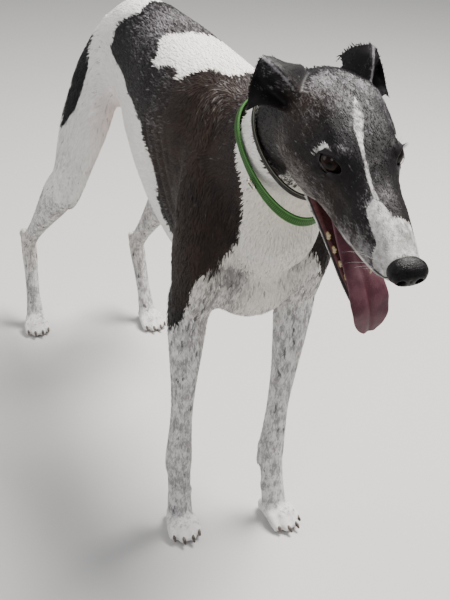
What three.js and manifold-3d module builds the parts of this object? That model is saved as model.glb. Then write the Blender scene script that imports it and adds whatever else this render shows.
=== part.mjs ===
// A life-size standing greyhound as a still museum model, in millimetres, +Z up and +X towards the head.
// The dog stands square on its front legs, with its hind legs drawn back, its head low and its mouth open.
// Every sub-part is a closed solid. The flesh is lofted, joined into one body and parted by thin cuts.
import * as THREE from "three";
import { mergeVertices } from "three/addons/utils/BufferGeometryUtils.js";
import Module from "manifold-3d";

const wasm = await Module();
wasm.setup();

const radians = THREE.MathUtils.degToRad;

// Driving sizes of the dog
const gap = 0.3; // the cut between touching sub-parts
const originX = 51; // the middle of the dog's box, measured in the frame that the tables below use
const originY = -24;
const headAt = [520, -53, 740]; // the point midway between the eyes
const headYaw = -8.1; // degrees, towards the dog's right
const headPitch = 18.7; // degrees, nose down
const headRoll = 2.8;
const jawOpen = 28; // degrees
const eyeRadius = 12;
const eyeX = 5.5;
const eyeY = 28.5;
const eyeZ = 1.5;
const ringAngle = radians(208); // around the neck, from the dog's left over its back
const far = 2000; // longer than the dog, for cutting blocks

// Small vector helpers
const vec = (x, y, z) => new THREE.Vector3(x, y, z);

// Smooth interpolation of a table's rows at a share t of its length: a cubic through every row, with the
// slope at a row taken from its two neighbours.
function along(rows, t) {
  const last = rows.length - 1;
  const lengths = [0];
  for (let i = 1; i <= last; i++) {
    const [a, b] = [rows[i - 1], rows[i]];
    lengths.push(lengths[i - 1] + Math.hypot(b[0] - a[0], b[1] - a[1], b[2] - a[2]));
  }
  const s = THREE.MathUtils.clamp(t, 0, 1) * lengths[last];
  let k = 0;
  while (k < last - 1 && s > lengths[k + 1]) k++;
  const span = lengths[k + 1] - lengths[k];
  const w = (s - lengths[k]) / span;
  const slope = (i, c) => {
    const low = Math.max(i - 1, 0);
    const high = Math.min(i + 1, last);
    return (rows[high][c] - rows[low][c]) / (lengths[high] - lengths[low]);
  };
  return rows[k].map((_, c) => {
    const [p, q] = [rows[k][c], rows[k + 1][c]];
    const [m, n] = [slope(k, c) * span, slope(k + 1, c) * span];
    return (
      (2 * w ** 3 - 3 * w ** 2 + 1) * p +
      (w ** 3 - 2 * w ** 2 + w) * m +
      (3 * w ** 2 - 2 * w ** 3) * q +
      (w ** 3 - w ** 2) * n
    );
  });
}

// A closed surface from rings of points and a pole at each end, as a solid facing out.
function closeRings(rings, startPole, endPole) {
  const count = rings[0].length;
  const points = [startPole, ...rings.flat(), endPole];
  const faces = [];
  for (let j = 0; j < count; j++) {
    const next = (j + 1) % count;
    faces.push(0, 1 + next, 1 + j);
    for (let i = 0; i < rings.length - 1; i++) {
      const [a, b] = [1 + i * count, 1 + (i + 1) * count];
      faces.push(a + j, a + next, b + j, a + next, b + next, b + j);
    }
    const tail = 1 + (rings.length - 1) * count;
    faces.push(points.length - 1, tail + j, tail + next);
  }
  return solidFrom(points, faces);
}

// A manifold solid from points and triangles, turned so that its faces point out.
function solidFrom(points, faces) {
  const volume = (list) => {
    let sum = 0;
    for (let i = 0; i < list.length; i += 3) {
      const [a, b, c] = [points[list[i]], points[list[i + 1]], points[list[i + 2]]];
      sum += a.dot(b.clone().cross(c));
    }
    return sum;
  };
  if (volume(faces) < 0) {
    for (let i = 0; i < faces.length; i += 3) [faces[i + 1], faces[i + 2]] = [faces[i + 2], faces[i + 1]];
  }
  const vertProperties = new Float32Array(points.flatMap((p) => [p.x, p.y, p.z]));
  const triVerts = new Uint32Array(faces);
  return new wasm.Manifold(new wasm.Mesh({ numProp: 3, vertProperties, triVerts }));
}

// A loft along a table of stations. A row is [x, y, z, above, below, left, right, square, keel]: the centre,
// the half sizes of the section along `up` and along the side, the power of its super-ellipse, and how much
// wider its upper half is than its lower half. Each end closes in a dome of the given depth, with `round` rings.
function loft(rows, { up = [0, 0, 1], rings, sides, startDome = 8, endDome = 8, round = 2 }) {
  const sections = [];
  const frameAt = (t) => {
    const row = along(rows, t);
    const step = 0.01;
    const ahead = vec(...along(rows, Math.min(t + step, 1)).slice(0, 3));
    const behind = vec(...along(rows, Math.max(t - step, 0)).slice(0, 3));
    const forward = ahead.sub(behind).normalize();
    const upward = vec(...up);
    upward.addScaledVector(forward, -upward.dot(forward)).normalize();
    const side = upward.clone().cross(forward).normalize();
    if (side.y < 0) side.negate();
    return { row, forward, upward, side };
  };
  const section = ({ row, forward, upward, side }, scale, shift) => {
    const [x, y, z, above, below, left, right, square, keel] = row;
    const ring = [];
    for (let j = 0; j < sides; j++) {
      const angle = (2 * Math.PI * (j + 0.5)) / sides;
      const [c, s] = [Math.cos(angle), Math.sin(angle)];
      const across = Math.sign(c) * Math.abs(c) ** (2 / square) * (c > 0 ? left : right) * (1 + keel * s);
      const rise = Math.sign(s) * Math.abs(s) ** (2 / square) * (s > 0 ? above : below);
      ring.push(
        vec(x, y, z)
          .addScaledVector(side, across * scale)
          .addScaledVector(upward, rise * scale)
          .addScaledVector(forward, shift)
      );
    }
    return ring;
  };
  const domeAngles = [[], [45], [62, 32]][round].map(radians);
  const start = frameAt(0);
  const end = frameAt(1);
  for (const a of domeAngles) sections.push(section(start, Math.cos(a), -startDome * Math.sin(a)));
  for (let i = 0; i < rings; i++) sections.push(section(frameAt(i / (rings - 1)), 1, 0));
  for (const a of [...domeAngles].reverse()) sections.push(section(end, Math.cos(a), endDome * Math.sin(a)));
  const startPole = vec(...start.row.slice(0, 3)).addScaledVector(start.forward, -startDome);
  const endPole = vec(...end.row.slice(0, 3)).addScaledVector(end.forward, endDome);
  return closeRings(sections, startPole, endPole);
}

// A bent sheet with a thickness: `surface(u, v)` gives a point for u and v from 0 to 1, and `thickness(u, v)`
// its wall there. Both faces are split into triangles alike, and a rim joins them.
function shell(surface, thickness, across, lengthwise) {
  const points = [];
  const faces = [];
  const index = (face, i, j) => face * (across + 1) * (lengthwise + 1) + j * (across + 1) + i;
  const h = 0.01;
  for (const face of [0, 1]) {
    for (let j = 0; j <= lengthwise; j++) {
      for (let i = 0; i <= across; i++) {
        const [u, v] = [i / across, j / lengthwise];
        const du = surface(Math.min(u + h, 1), v).sub(surface(Math.max(u - h, 0), v));
        const dv = surface(u, Math.min(v + h, 1)).sub(surface(u, Math.max(v - h, 0)));
        const normal = du.cross(dv).normalize();
        points.push(surface(u, v).addScaledVector(normal, (face ? -0.5 : 0.5) * thickness(u, v)));
      }
    }
  }
  for (let j = 0; j < lengthwise; j++) {
    for (let i = 0; i < across; i++) {
      const quad = (f) => [index(f, i, j), index(f, i + 1, j), index(f, i + 1, j + 1), index(f, i, j + 1)];
      const [a, b, c, d] = quad(0);
      const [p, q, r, s] = quad(1);
      faces.push(a, b, c, a, c, d, p, r, q, p, s, r);
    }
  }
  const rim = [];
  for (let i = 0; i < across; i++) rim.push([i, 0]);
  for (let j = 0; j < lengthwise; j++) rim.push([across, j]);
  for (let i = across; i > 0; i--) rim.push([i, lengthwise]);
  for (let j = lengthwise; j > 0; j--) rim.push([0, j]);
  rim.forEach(([i, j], k) => {
    const [m, n] = rim[(k + 1) % rim.length];
    const [a, b, c, d] = [index(0, i, j), index(0, m, n), index(1, m, n), index(1, i, j)];
    faces.push(a, d, b, b, d, c);
  });
  return solidFrom(points, faces);
}

// The solid of a three.js geometry, placed by a matrix.
function solidOf(geometry, matrix = new THREE.Matrix4()) {
  const bare = geometry.clone();
  bare.deleteAttribute("normal");
  bare.deleteAttribute("uv");
  bare.applyMatrix4(matrix);
  const merged = mergeVertices(bare, 1e-3);
  const place = merged.attributes.position;
  const points = [];
  for (let i = 0; i < place.count; i++) points.push(new THREE.Vector3().fromBufferAttribute(place, i));
  return solidFrom(points, [...merged.index.array]);
}

const ball = (x, y, z, rx, ry, rz, across = 16, down = 10) =>
  solidOf(
    new THREE.SphereGeometry(1, across, down),
    new THREE.Matrix4().makeTranslation(x, y, z).multiply(new THREE.Matrix4().makeScale(rx, ry, rz))
  );

const joined = (pieces) => wasm.Manifold.union(pieces);

// The half-space on the far side of a plane, as a big block: it starts at `point` and runs along `normal`.
function beyond(point, normal) {
  const turn = new THREE.Matrix4().makeRotationFromQuaternion(
    new THREE.Quaternion().setFromUnitVectors(vec(0, 0, 1), vec(...normal).normalize())
  );
  const block = new THREE.BoxGeometry(far, far, far).translate(0, 0, far / 2);
  return solidOf(block, new THREE.Matrix4().makeTranslation(...point).multiply(turn));
}

// Only the largest closed surface of a solid.
function largest(solid) {
  const bodies = solid.decompose();
  bodies.sort((a, b) => b.volume() - a.volume());
  return bodies[0];
}

// Torso: [x, shift, top, widest level, bottom, half width, square, keel], from the breast back to the rump.
// The shift is the section's distance to the left of the middle.
const torsoTable = [
  [290, 0, 576, 510, 448, 42, 2.0, 0],
  [268, 1, 634, 530, 412, 60, 2.2, 0],
  [235, 2, 676, 550, 387, 71, 2.3, 0],
  [190, 2, 700, 565, 371, 77, 2.25, 0.05],
  [140, 1, 707, 572, 368, 83, 2.15, 0.14],
  [80, 3, 708, 572, 376, 88, 2.15, 0.16],
  [20, 5, 712, 576, 394, 88, 2.15, 0.15],
  [-40, 7, 720, 586, 421, 82, 2.15, 0.12],
  [-100, 7, 729, 602, 460, 72, 2.15, 0.08],
  [-155, 6, 731, 618, 498, 63, 2.1, 0.04],
  [-205, 5, 723, 622, 524, 58, 2.1, 0],
  [-255, 4, 701, 612, 528, 57, 2.0, 0],
  [-305, 3, 671, 598, 520, 56, 2.0, 0],
  [-350, 1, 636, 580, 514, 47, 2.0, 0],
  [-376, 0, 606, 568, 528, 34, 2.0, 0],
];

function torso() {
  const rows = torsoTable.map(([x, shift, top, wide, bottom, half, square, keel]) => [
    x, shift, wide, top - wide, wide - bottom, half, half, square, keel,
  ]);
  return loft(rows, { rings: 20, sides: 20, startDome: 14, endDome: 10 });
}

// Neck: the centre line climbs from the chest to the skull and bends to the dog's right
const neckTable = [
  [130, 0, 600, 86, 130, 62, 62, 2.1, 0],
  [195, 0, 618, 80, 126, 61, 61, 2.1, -0.05],
  [250, -5, 644, 70, 116, 57, 57, 2.1, -0.06],
  [300, -13, 672, 60, 90, 52, 52, 2.1, -0.05],
  [345, -22, 699, 55, 68, 49, 49, 2.1, -0.03],
  [388, -31, 724, 52, 58, 47, 47, 2.1, 0],
  [430, -40, 745, 48, 52, 45, 45, 2.1, 0],
];

function wholeNeck(grow = 0) {
  const rows = neckTable.map(([x, y, z, above, below, left, right, square, keel]) => [
    x, y, z, above + grow, below + grow, left + grow, right + grow, square, keel,
  ]);
  return loft(rows, { rings: 11, sides: 18, startDome: 20, endDome: 14, round: 1 });
}

// The frame of the head: x runs to the nose, y to the dog's left and z up, from the point midway between the eyes
const headFrame = new THREE.Matrix4()
  .makeTranslation(...headAt)
  .multiply(new THREE.Matrix4().makeRotationZ(radians(headYaw)))
  .multiply(new THREE.Matrix4().makeRotationY(radians(headPitch)))
  .multiply(new THREE.Matrix4().makeRotationX(radians(headRoll)));
const inHead = (solid) => solid.transform(headFrame.toArray());
const headPoint = (x, y, z) => vec(x, y, z).applyMatrix4(headFrame).toArray();
const headAxis = (x, y, z) => vec(x, y, z).transformDirection(headFrame).toArray();

// Skull and upper jaw: [x, top, widest level, bottom, half width, square, keel] in the head's frame
const skullTable = [
  [-130, 2, -14, -40, 28, 2.0, 0],
  [-112, 17, -12, -62, 41, 2.1, 0.02],
  [-88, 28, -12, -76, 49, 2.3, 0.02],
  [-60, 33.5, -14, -82, 52, 2.45, 0.02],
  [-35, 32, -15, -81, 50.5, 2.45, 0.0],
  [-12, 27, -17, -76, 45.5, 2.45, -0.02],
  [8, 20, -22, -71, 39.5, 2.4, -0.05],
  [26, 12.5, -27, -67, 34.5, 2.35, -0.08],
  [45, 6, -30, -63, 31, 2.4, -0.1],
  [65, 2, -31, -59, 28.5, 2.5, -0.1],
  [85, -2.5, -31, -54, 25, 2.5, -0.09],
  [103, -7, -30, -49, 21.5, 2.4, -0.05],
  [119, -12, -28.5, -42, 17.5, 2.3, 0],
];

function skull(grow = 0) {
  const rows = skullTable.map(([x, top, wide, bottom, half, square, keel]) => [
    x, 0, wide, top - wide + grow, wide - bottom + grow, half + grow, half + grow, square, keel,
  ]);
  return loft(rows, { rings: 20, sides: 20, startDome: 12, endDome: 6 });
}

// The hollow under the palate, between the upper lips: [x, top, half width, level of the lips' edge]
const palateTable = [
  [-30, -62, 18, -74],
  [-5, -50, 27, -62],
  [25, -42, 27.5, -52],
  [55, -38, 24, -47.5],
  [82, -36.5, 19, -45.5],
  [101, -37.5, 12, -43],
];
const palate = () =>
  loft(
    palateTable.map(([x, top, half]) => [x, 0, -66, top + 66, 6, half, half, 3, 0]),
    { rings: 7, sides: 12, startDome: 4, endDome: 4, round: 1 }
  );
const belowLips = () =>
  loft(
    palateTable.slice(1).map(([x, , , edge]) => [x, 0, -90, edge + 90, 20, 60, 60, 6, 0]),
    { rings: 6, sides: 8, startDome: 10, endDome: 10, round: 0 }
  );

// Lower jaw, modelled shut and turned about its joint: [x, centre height, above, below, half width]
const jawJoint = [-60, 0, -22];
const jawTable = [
  [-62, -46, 12, 14, 33],
  [-35, -54, 11, 15, 33],
  [-5, -57, 9, 14, 30],
  [25, -55, 8, 12, 25],
  [55, -53, 7, 10.5, 20.5],
  [80, -51.5, 6.5, 9, 17],
  [100, -50.5, 6, 8, 13],
];
const jawTurn = new THREE.Matrix4()
  .makeTranslation(...jawJoint)
  .multiply(new THREE.Matrix4().makeRotationY(radians(jawOpen)))
  .multiply(new THREE.Matrix4().makeTranslation(...jawJoint.map((v) => -v)));

// Tongue: it lies along the lower jaw and hangs over the front of it
const tongueTable = [
  [-18, 0, -64, 4.5, 4.5, 16, 16, 2.2, 0],
  [16, 0, -82, 4.5, 4.5, 17, 17, 2.2, 0],
  [46, 1, -97, 4, 4.5, 18, 18, 2.2, 0],
  [66, 3, -106, 4, 4, 19.5, 19.5, 2.2, 0],
  [78, 6, -116, 4, 4, 21, 21, 2.2, 0],
  [87, 9.5, -129, 3.5, 3.5, 22, 22, 2.2, 0],
  [91, 11.5, -139, 2.8, 2.8, 19, 19, 2.1, 0],
];
const tongue = (grow = 0) =>
  loft(
    tongueTable.map(([x, y, z, above, below, left, right, square, keel]) => [
      x, y, z, above + grow, below + grow, left + grow, right + grow, square, keel,
    ]),
    { rings: 9, sides: 10, startDome: 4, endDome: 8 }
  );

// Teeth: [x, side place, height of the root, length, half width], on each side of an arch
const upperTeeth = [
  [107, 2.4, -37, 6, 2.2],
  [105.5, 6.8, -37, 6, 2.3],
  [102.5, 10.6, -37, 7, 2.5],
  [94, 13.4, -37, 14, 3.8],
  [76, 16.4, -36, 7, 3.4],
  [62, 18.4, -36.5, 8, 3.8],
  [47, 20.4, -38, 8.5, 4.6],
  [32, 22.4, -40, 7, 4.4],
];
const lowerTeeth = [
  [103, 2, -45.5, 6, 2],
  [102, 5.6, -45.5, 6.5, 2],
  [97, 8.8, -46, 15, 3.6],
  [80, 12.2, -46, 6, 3.2],
  [66, 14.6, -46.5, 7, 3.6],
  [51, 17, -47, 8, 4.2],
  [36, 19.4, -48, 9, 4.6],
];

// A tooth as a tapered cone that leans forwards; `down` is 1 for an upper tooth and -1 for a lower one.
function tooth([x, y, z, length, half], sign, down) {
  const lean = 1.2;
  const rows = [
    [x - lean, sign * y, z + down * 4, half, half, half * 0.75, half * 0.75, 2, 0],
    [x, sign * y, z - down * length * 0.25, half, half, half * 0.75, half * 0.75, 2, 0],
    [x + lean, sign * y, z - down * length * 0.85, half * 0.4, half * 0.4, half * 0.3, half * 0.3, 2, 0],
  ];
  return loft(rows, { up: [1, 0, 0], rings: 3, sides: 5, startDome: 1, endDome: 1.4, round: 0 });
}
const arch = (table, down) => table.flatMap((row) => [1, -1].map((sign) => tooth(row, sign, down)));

function lowerJaw() {
  const rows = jawTable.map(([x, z, above, below, half]) => [x, 0, z, above, below, half, half, 2.4, 0.05]);
  const floor = jawTable
    .slice(2)
    .map(([x, z, above, , half]) => [x - 4, 0, z + above + 1, 4, 7, half - 5, half - 5, 3, 0]);
  return joined([
    loft(rows, { rings: 8, sides: 11, startDome: 6, endDome: 8 }).subtract(
      loft(floor, { rings: 5, sides: 8, startDome: 4, endDome: 4, round: 1 })
    ),
    ...arch(lowerTeeth, -1),
  ]).transform(jawTurn.toArray());
}

// Eyes, with the sockets and lids around them, in the head's frame
const eyeAxis = (sign) => vec(0.72, sign * 0.64, 0.26).normalize();
const eyeBall = (sign, grow = 0) => {
  const r = eyeRadius + grow;
  return ball(eyeX, sign * eyeY, eyeZ, r, r, r, 12, 8);
};

// The almond opening between the lids, as a prism that runs out along the eye's axis
function eyeOpening(sign) {
  const [half, tall, reach] = [11.8, 7, 40];
  const outline = new THREE.Shape();
  outline.moveTo(-half, 1);
  outline.quadraticCurveTo(-half * 0.35, tall * 1.9, half * 0.35, tall * 0.9);
  outline.quadraticCurveTo(half * 0.8, tall * 0.4, half, -2.5);
  outline.quadraticCurveTo(0, -tall * 1.9, -half, 1);
  const prism = new THREE.ExtrudeGeometry(outline, { depth: reach, bevelEnabled: false, curveSegments: 4 });
  const axis = eyeAxis(sign);
  const upward = vec(0, 0, 1).addScaledVector(axis, -axis.z).normalize();
  const forward = upward.clone().cross(axis).multiplyScalar(sign).normalize();
  const place = new THREE.Matrix4().makeBasis(upward.clone().cross(axis), upward, axis);
  if (sign * forward.x < 0) prism.scale(-1, 1, 1);
  return solidOf(prism, place.setPosition(eyeX, sign * eyeY, eyeZ));
}

// Ears, in the head's frame: three lines from the inner edge across the ridge to the outer edge. The first is
// sunk in the skull, the last is the free rim; the fourth point of a line lies deep in the ear's cup.
const ears = {
  left: [
    [[-98, 16, 16], [-86, 26, 20], [-73, 33, 21], [-84, 38, 6], [-68, 42, -4]],
    [[-116, 18, 24], [-101, 28, 36], [-88, 39, 38], [-97, 47, 20], [-76, 54, 4]],
    [[-126, 18, 12], [-116, 25, 34], [-102, 43, 46], [-92, 52, 30], [-79, 62, -3]],
  ],
  right: [
    [[-97, -16, 14], [-84, -28, 18], [-71, -40, 20], [-82, -48, 4], [-68, -50, 2]],
    [[-110, -24, 24], [-98, -42, 33], [-88, -57, 36], [-96, -67, 18], [-77, -72, 6]],
    [[-111, -22, 13], [-110, -43, 29], [-104, -69, 43], [-95, -80, 24], [-81, -86, -3]],
  ],
};

// The ear's leather as a bent sheet: u runs from the inner edge to the outer one, v from the skull to the rim.
function ear(lines) {
  const surface = (u, v) => vec(...along(lines.map((line) => along(line, u)), v));
  return shell(surface, (u, v) => 4.4 - 2 * v, 9, 6);
}

// Nose leather, with two nostrils and the slits beside them
const noseTable = [
  [114, 0.5, -25, 11, 9, 12.5, 12, 2.2, 0.05],
  [122, 0.5, -25.5, 13, 10.5, 18.5, 17, 2.3, 0.08],
  [129, 1, -26, 12, 10, 19, 17.5, 2.3, 0.1],
  [134, 1, -27, 9, 8, 15.5, 14, 2.2, 0.1],
];
const nosePad = (grow = 0) =>
  loft(
    noseTable.map(([x, y, z, above, below, left, right, square, keel]) => [
      x, y, z, above + grow, below + grow, left + grow, right + grow, square, keel,
    ]),
    { rings: 5, sides: 14, startDome: 3 + grow, endDome: 3.5 + grow }
  );

function nose() {
  const nostril = (sign) => [
    [140, 1 + sign * 6.6, -26.5, 3.6, 3.6, 3.2, 3.2, 2, 0],
    [132, 1 + sign * 9.2, -27, 3.4, 3.4, 3.2, 3.2, 2, 0],
    [125, 1 + sign * 10, -27, 1.8, 1.8, 1.8, 1.8, 2, 0],
  ];
  const slit = (sign) => [
    [131, 1 + sign * 9.9, -28, 2, 1.5, 2, 2, 2, 0],
    [128, 1 + sign * 15, -29.3, 2, 1.5, 2, 2, 2, 0],
    [124, 1 + sign * 20.5, -30.5, 1.8, 1.4, 2, 2, 2, 0],
  ];
  const holes = [1, -1].flatMap((sign) => [
    loft(nostril(sign), { rings: 3, sides: 7, startDome: 2, endDome: 1, round: 0 }),
    loft(slit(sign), { rings: 3, sides: 5, startDome: 1, endDome: 1, round: 0 }),
  ]);
  return nosePad().subtract(joined(holes));
}

// A loft along a bone. `a` and `b` are its ends, and a row is [share of the way, shift forwards, fore, aft,
// out, in]: the shift and the half sizes of the section across the bone. `side` is 1 for a left leg.
function limb(a, b, rows, side, options) {
  const [start, end] = [vec(...a), vec(...b)];
  const bone = end.clone().sub(start).normalize();
  const fore = vec(1, 0, 0).addScaledVector(bone, -bone.x).normalize();
  const table = rows.map(([share, shift, front, back, out, inner]) => {
    const centre = start.clone().lerp(end, share).addScaledVector(fore, shift);
    const [left, right] = side > 0 ? [out, inner] : [inner, out];
    return [centre.x, centre.y, centre.z, front, back, left, right, 2.1, 0];
  });
  return loft(table, { up: [1, 0, 0], rings: 9, sides: 10, round: 1, ...options });
}

// The joints of each leg, from the body to the ground
const legs = {
  front: {
    right: { side: -1, blade: [168, -42, 662], point: [218, -76, 504], elbow: [184, -82, 392],
      wrist: [177, -82, 128], toes: [190, -84, 0], heading: -4 },
    left: { side: 1, blade: [168, 44, 662], point: [224, 80, 504], elbow: [198, 84, 390],
      wrist: [211, 57, 124], toes: [228, 64, 0], heading: 14 },
  },
  hind: {
    right: { side: -1, hip: [-290, -47, 592], knee: [-326, -97, 368], hock: [-508, -131, 172],
      heel: [-536, -135, 194], toes: [-466, -138, 0], heading: -6 },
    left: { side: 1, hip: [-288, 49, 592], knee: [-266, 92, 370], hock: [-436, 76, 165],
      heel: [-466, 75, 185], toes: [-398, 88, 0], heading: 4 },
  },
};

// Shoulder blade and upper arm, from the withers to the elbow
const bladeRows = [
  [0.0, 0, 26, 28, 18, 22],
  [0.3, 0, 50, 48, 28, 28],
  [0.6, 2, 62, 58, 32, 31],
  [0.85, 2, 58, 62, 32, 32],
  [1.05, -2, 44, 52, 27, 30],
];
const upperArmRows = [
  [-0.15, -4, 50, 54, 28, 31],
  [0.2, -2, 52, 55, 31, 32],
  [0.6, 0, 41, 40, 27, 29],
  [0.95, 0, 29, 30, 23, 24],
  [1.12, 0, 25, 26, 20, 21],
];
const forearmRows = [
  [-0.12, 0, 29, 30, 21, 21],
  [0.06, 0, 27, 28, 22, 21],
  [0.25, 1, 23, 23, 20, 19],
  [0.45, 1, 19, 19, 17, 16.5],
  [0.68, 0, 16.5, 17, 15.5, 15.5],
  [0.84, 0, 17, 18, 17.5, 17],
  [1.0, 0, 18, 20, 20, 19],
  [1.08, 0, 17, 19, 19, 19],
];
const pasternRows = [
  [-0.1, 0, 17.5, 20, 19.5, 19],
  [0.15, 0, 15.5, 17.5, 18.5, 18],
  [0.4, 0, 14.5, 15.5, 17.5, 17.5],
  [0.64, 0, 15, 16, 19.5, 19.5],
  [0.8, 2, 17, 17, 21, 21],
];

// Thigh, lower leg, heel and rear pastern
const thighRows = [
  [-0.34, 4, 36, 26, 6, 30],
  [-0.16, 4, 60, 48, 15, 34],
  [0.06, 4, 80, 70, 23, 36],
  [0.3, 4, 82, 74, 26, 36],
  [0.55, 2, 70, 70, 27, 34],
  [0.8, 4, 52, 60, 27, 30],
  [1.0, 6, 38, 50, 26, 26],
  [1.1, 4, 29, 42, 24, 23],
];
const lowerLegRows = [
  [-0.1, -2, 30, 38, 25, 23],
  [0.06, -4, 35, 44, 29, 26],
  [0.22, -6, 34, 43, 28, 25],
  [0.42, -7, 28, 35, 23, 21],
  [0.62, -7, 21, 28, 18, 17],
  [0.8, -7, 17, 24, 14, 14],
  [0.93, -6, 16, 23, 14.5, 14.5],
  [1.02, -3, 17, 20, 16, 16],
];
const heelRows = [
  [0.0, 0, 15, 15, 15, 15],
  [0.55, 0, 12.5, 12.5, 12, 12],
  [0.85, 0, 11.5, 11.5, 11, 11],
];
const rearPasternRows = [
  [-0.06, 0, 17, 17, 16, 16],
  [0.1, 0, 17.5, 18, 16.5, 16.5],
  [0.35, 0, 14.5, 15.5, 15, 15],
  [0.6, 0, 13.5, 14.5, 15, 15],
  [0.78, 0, 15, 15, 18, 18],
  [0.9, 2, 17, 17, 20, 20],
];

// A foot with four arched toes and their claws, in its own frame: x to the toes, z up from the floor.
// Each toe is [side place, length, height of the knuckle, half width].
const toes = [
  [-17.5, 33, 27, 9],
  [-6.4, 44, 31, 9.4],
  [6.4, 44, 31, 9.4],
  [17.5, 33, 27, 9],
];

function foot({ toes: at, heading, side }, thumb) {
  const heelPad = [
    [-24, 0, 13, 12, 16, 16, 16, 2.2, 0],
    [-8, 0, 18, 17, 21, 20.5, 20.5, 2.3, 0],
    [8, 0, 19, 17, 22, 21.5, 21.5, 2.3, 0],
  ];
  const pieces = [loft(heelPad, { rings: 3, sides: 8, startDome: 9, endDome: 9, round: 1 })];
  for (const [y, reach, knuckle, half] of toes) {
    const spread = y * 0.14;
    const toe = [
      [-8, y * 0.72, knuckle - 12, 9, 9, half * 0.9, half * 0.9, 2.1, 0],
      [reach * 0.34, y, knuckle - 10, 10.5, 10, half, half, 2.1, 0],
      [reach * 0.66, y + spread * 0.6, knuckle - 14, 9.5, 11, half, half, 2.1, 0],
      [reach * 0.92, y + spread, 9, 8, 11, half * 0.85, half * 0.85, 2.1, 0],
    ];
    const claw = [
      [reach - 2, y + spread, 11, 3.6, 3.6, 2.8, 2.8, 2, 0],
      [reach + 7, y + spread * 1.2, 8, 2.3, 2.5, 2, 2, 2, 0],
    ];
    pieces.push(loft(toe, { rings: 4, sides: 6, startDome: 6, endDome: 5, round: 1 }));
    pieces.push(loft(claw, { rings: 2, sides: 4, startDome: 3, endDome: 5, round: 0 }));
  }
  if (thumb) {
    // the dew claw, on the inner side above the foot
    const y = -side * 16;
    const rows = [
      [-18, y * 0.8, 80, 6, 6, 5, 5, 2, 0],
      [-13, y * 1.2, 64, 5.5, 5.5, 5, 5, 2, 0],
      [-7, y * 1.3, 53, 3, 3, 2.6, 2.6, 2, 0],
    ];
    pieces.push(loft(rows, { up: [1, 0, 0], rings: 3, sides: 5, startDome: 5, endDome: 4, round: 0 }));
  }
  const place = new THREE.Matrix4()
    .makeTranslation(...at)
    .multiply(new THREE.Matrix4().makeRotationZ(radians(heading)));
  return joined(pieces).transform(place.toArray());
}

function frontLeg(leg) {
  const { side, blade, point, elbow, wrist, toes: at } = leg;
  return joined([
    limb(blade, point, bladeRows, side, { rings: 6, sides: 11, startDome: 16, endDome: 14 }),
    limb(point, elbow, upperArmRows, side, { rings: 5, sides: 11, startDome: 14, endDome: 12 }),
    limb(elbow, wrist, forearmRows, side, { rings: 9 }),
    limb(wrist, at, pasternRows, side, { rings: 5 }),
    ball(elbow[0] - 22, elbow[1], elbow[2] + 6, 15, 13, 18, 8, 6),
    ball(wrist[0] - 17, wrist[1], wrist[2] - 20, 8, 9, 11, 7, 5),
    foot(leg, true),
  ]);
}

function hindLeg(leg) {
  const { side, hip, knee, hock, heel, toes: at } = leg;
  return joined([
    limb(hip, knee, thighRows, side, { sides: 13, startDome: 16, endDome: 14 }),
    limb(knee, hock, lowerLegRows, side, { rings: 9, startDome: 14 }),
    limb(hock, heel, heelRows, side, { rings: 3, sides: 8, startDome: 10, endDome: 9 }),
    limb(hock, at, rearPasternRows, side, { rings: 7 }),
    foot(leg, false),
  ]);
}

// Tail: from the rump it hangs behind the thighs and swings a little to the dog's right
const tailTable = [
  [-352, 0, 618, 19, 19, 19, 19, 2, 0],
  [-382, 0, 592, 16, 17, 17, 17, 2, 0],
  [-404, -4, 550, 14, 14, 14, 14, 2, 0],
  [-416, -16, 490, 12.5, 12.5, 12.5, 12.5, 2, 0],
  [-420, -34, 420, 11, 11, 11, 11, 2, 0],
  [-428, -54, 350, 9, 9, 9, 9, 2, 0],
  [-446, -74, 290, 7.5, 7.5, 7.5, 7.5, 2, 0],
  [-474, -88, 250, 5.5, 5.5, 5.5, 5.5, 2, 0],
  [-500, -92, 238, 3.5, 3.5, 3.5, 3.5, 2, 0],
];
const tail = loft(tailTable, { up: [1, 0, 0], rings: 17, sides: 9, startDome: 10, endDome: 5 });

// Straps around the neck: `t` is the place along the neck, `slant` leans a strap forwards below and `hang` lets
// its lower side hang loose.
const straps = {
  green: { t: 0.575, slant: 0.56, hang: 13, width: 17, thick: 2.4 },
  dark: { t: 0.75, slant: 0.38, hang: 13, width: 11, thick: 2.4 },
};

// The middle of a strap at an angle around the neck, with its own directions there
function strapAt({ t, slant, hang, thick }, angle) {
  const row = along(neckTable, t);
  const ahead = vec(...along(neckTable, t + 0.02).slice(0, 3));
  const forward = ahead.sub(vec(...along(neckTable, t - 0.02).slice(0, 3))).normalize();
  const upward = vec(0, 0, 1).addScaledVector(forward, -forward.z).normalize();
  const side = upward.clone().cross(forward).normalize();
  const clear = 0.6 + thick / 2;
  const [c, s] = [Math.cos(angle), Math.sin(angle)];
  const bend = (v, size) => Math.sign(v) * Math.abs(v) ** (2 / 2.1) * size;
  const rise = bend(s, (s > 0 ? row[3] : row[4]) + clear) - hang * Math.max(-s, 0) ** 2;
  const middle = vec(...row.slice(0, 3))
    .addScaledVector(side, bend(c, row[5] + clear))
    .addScaledVector(upward, rise)
    .addScaledVector(forward, -slant * rise);
  const out = vec(0, 0, 0).addScaledVector(side, c).addScaledVector(upward, s);
  return { middle, forward, out };
}

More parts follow.
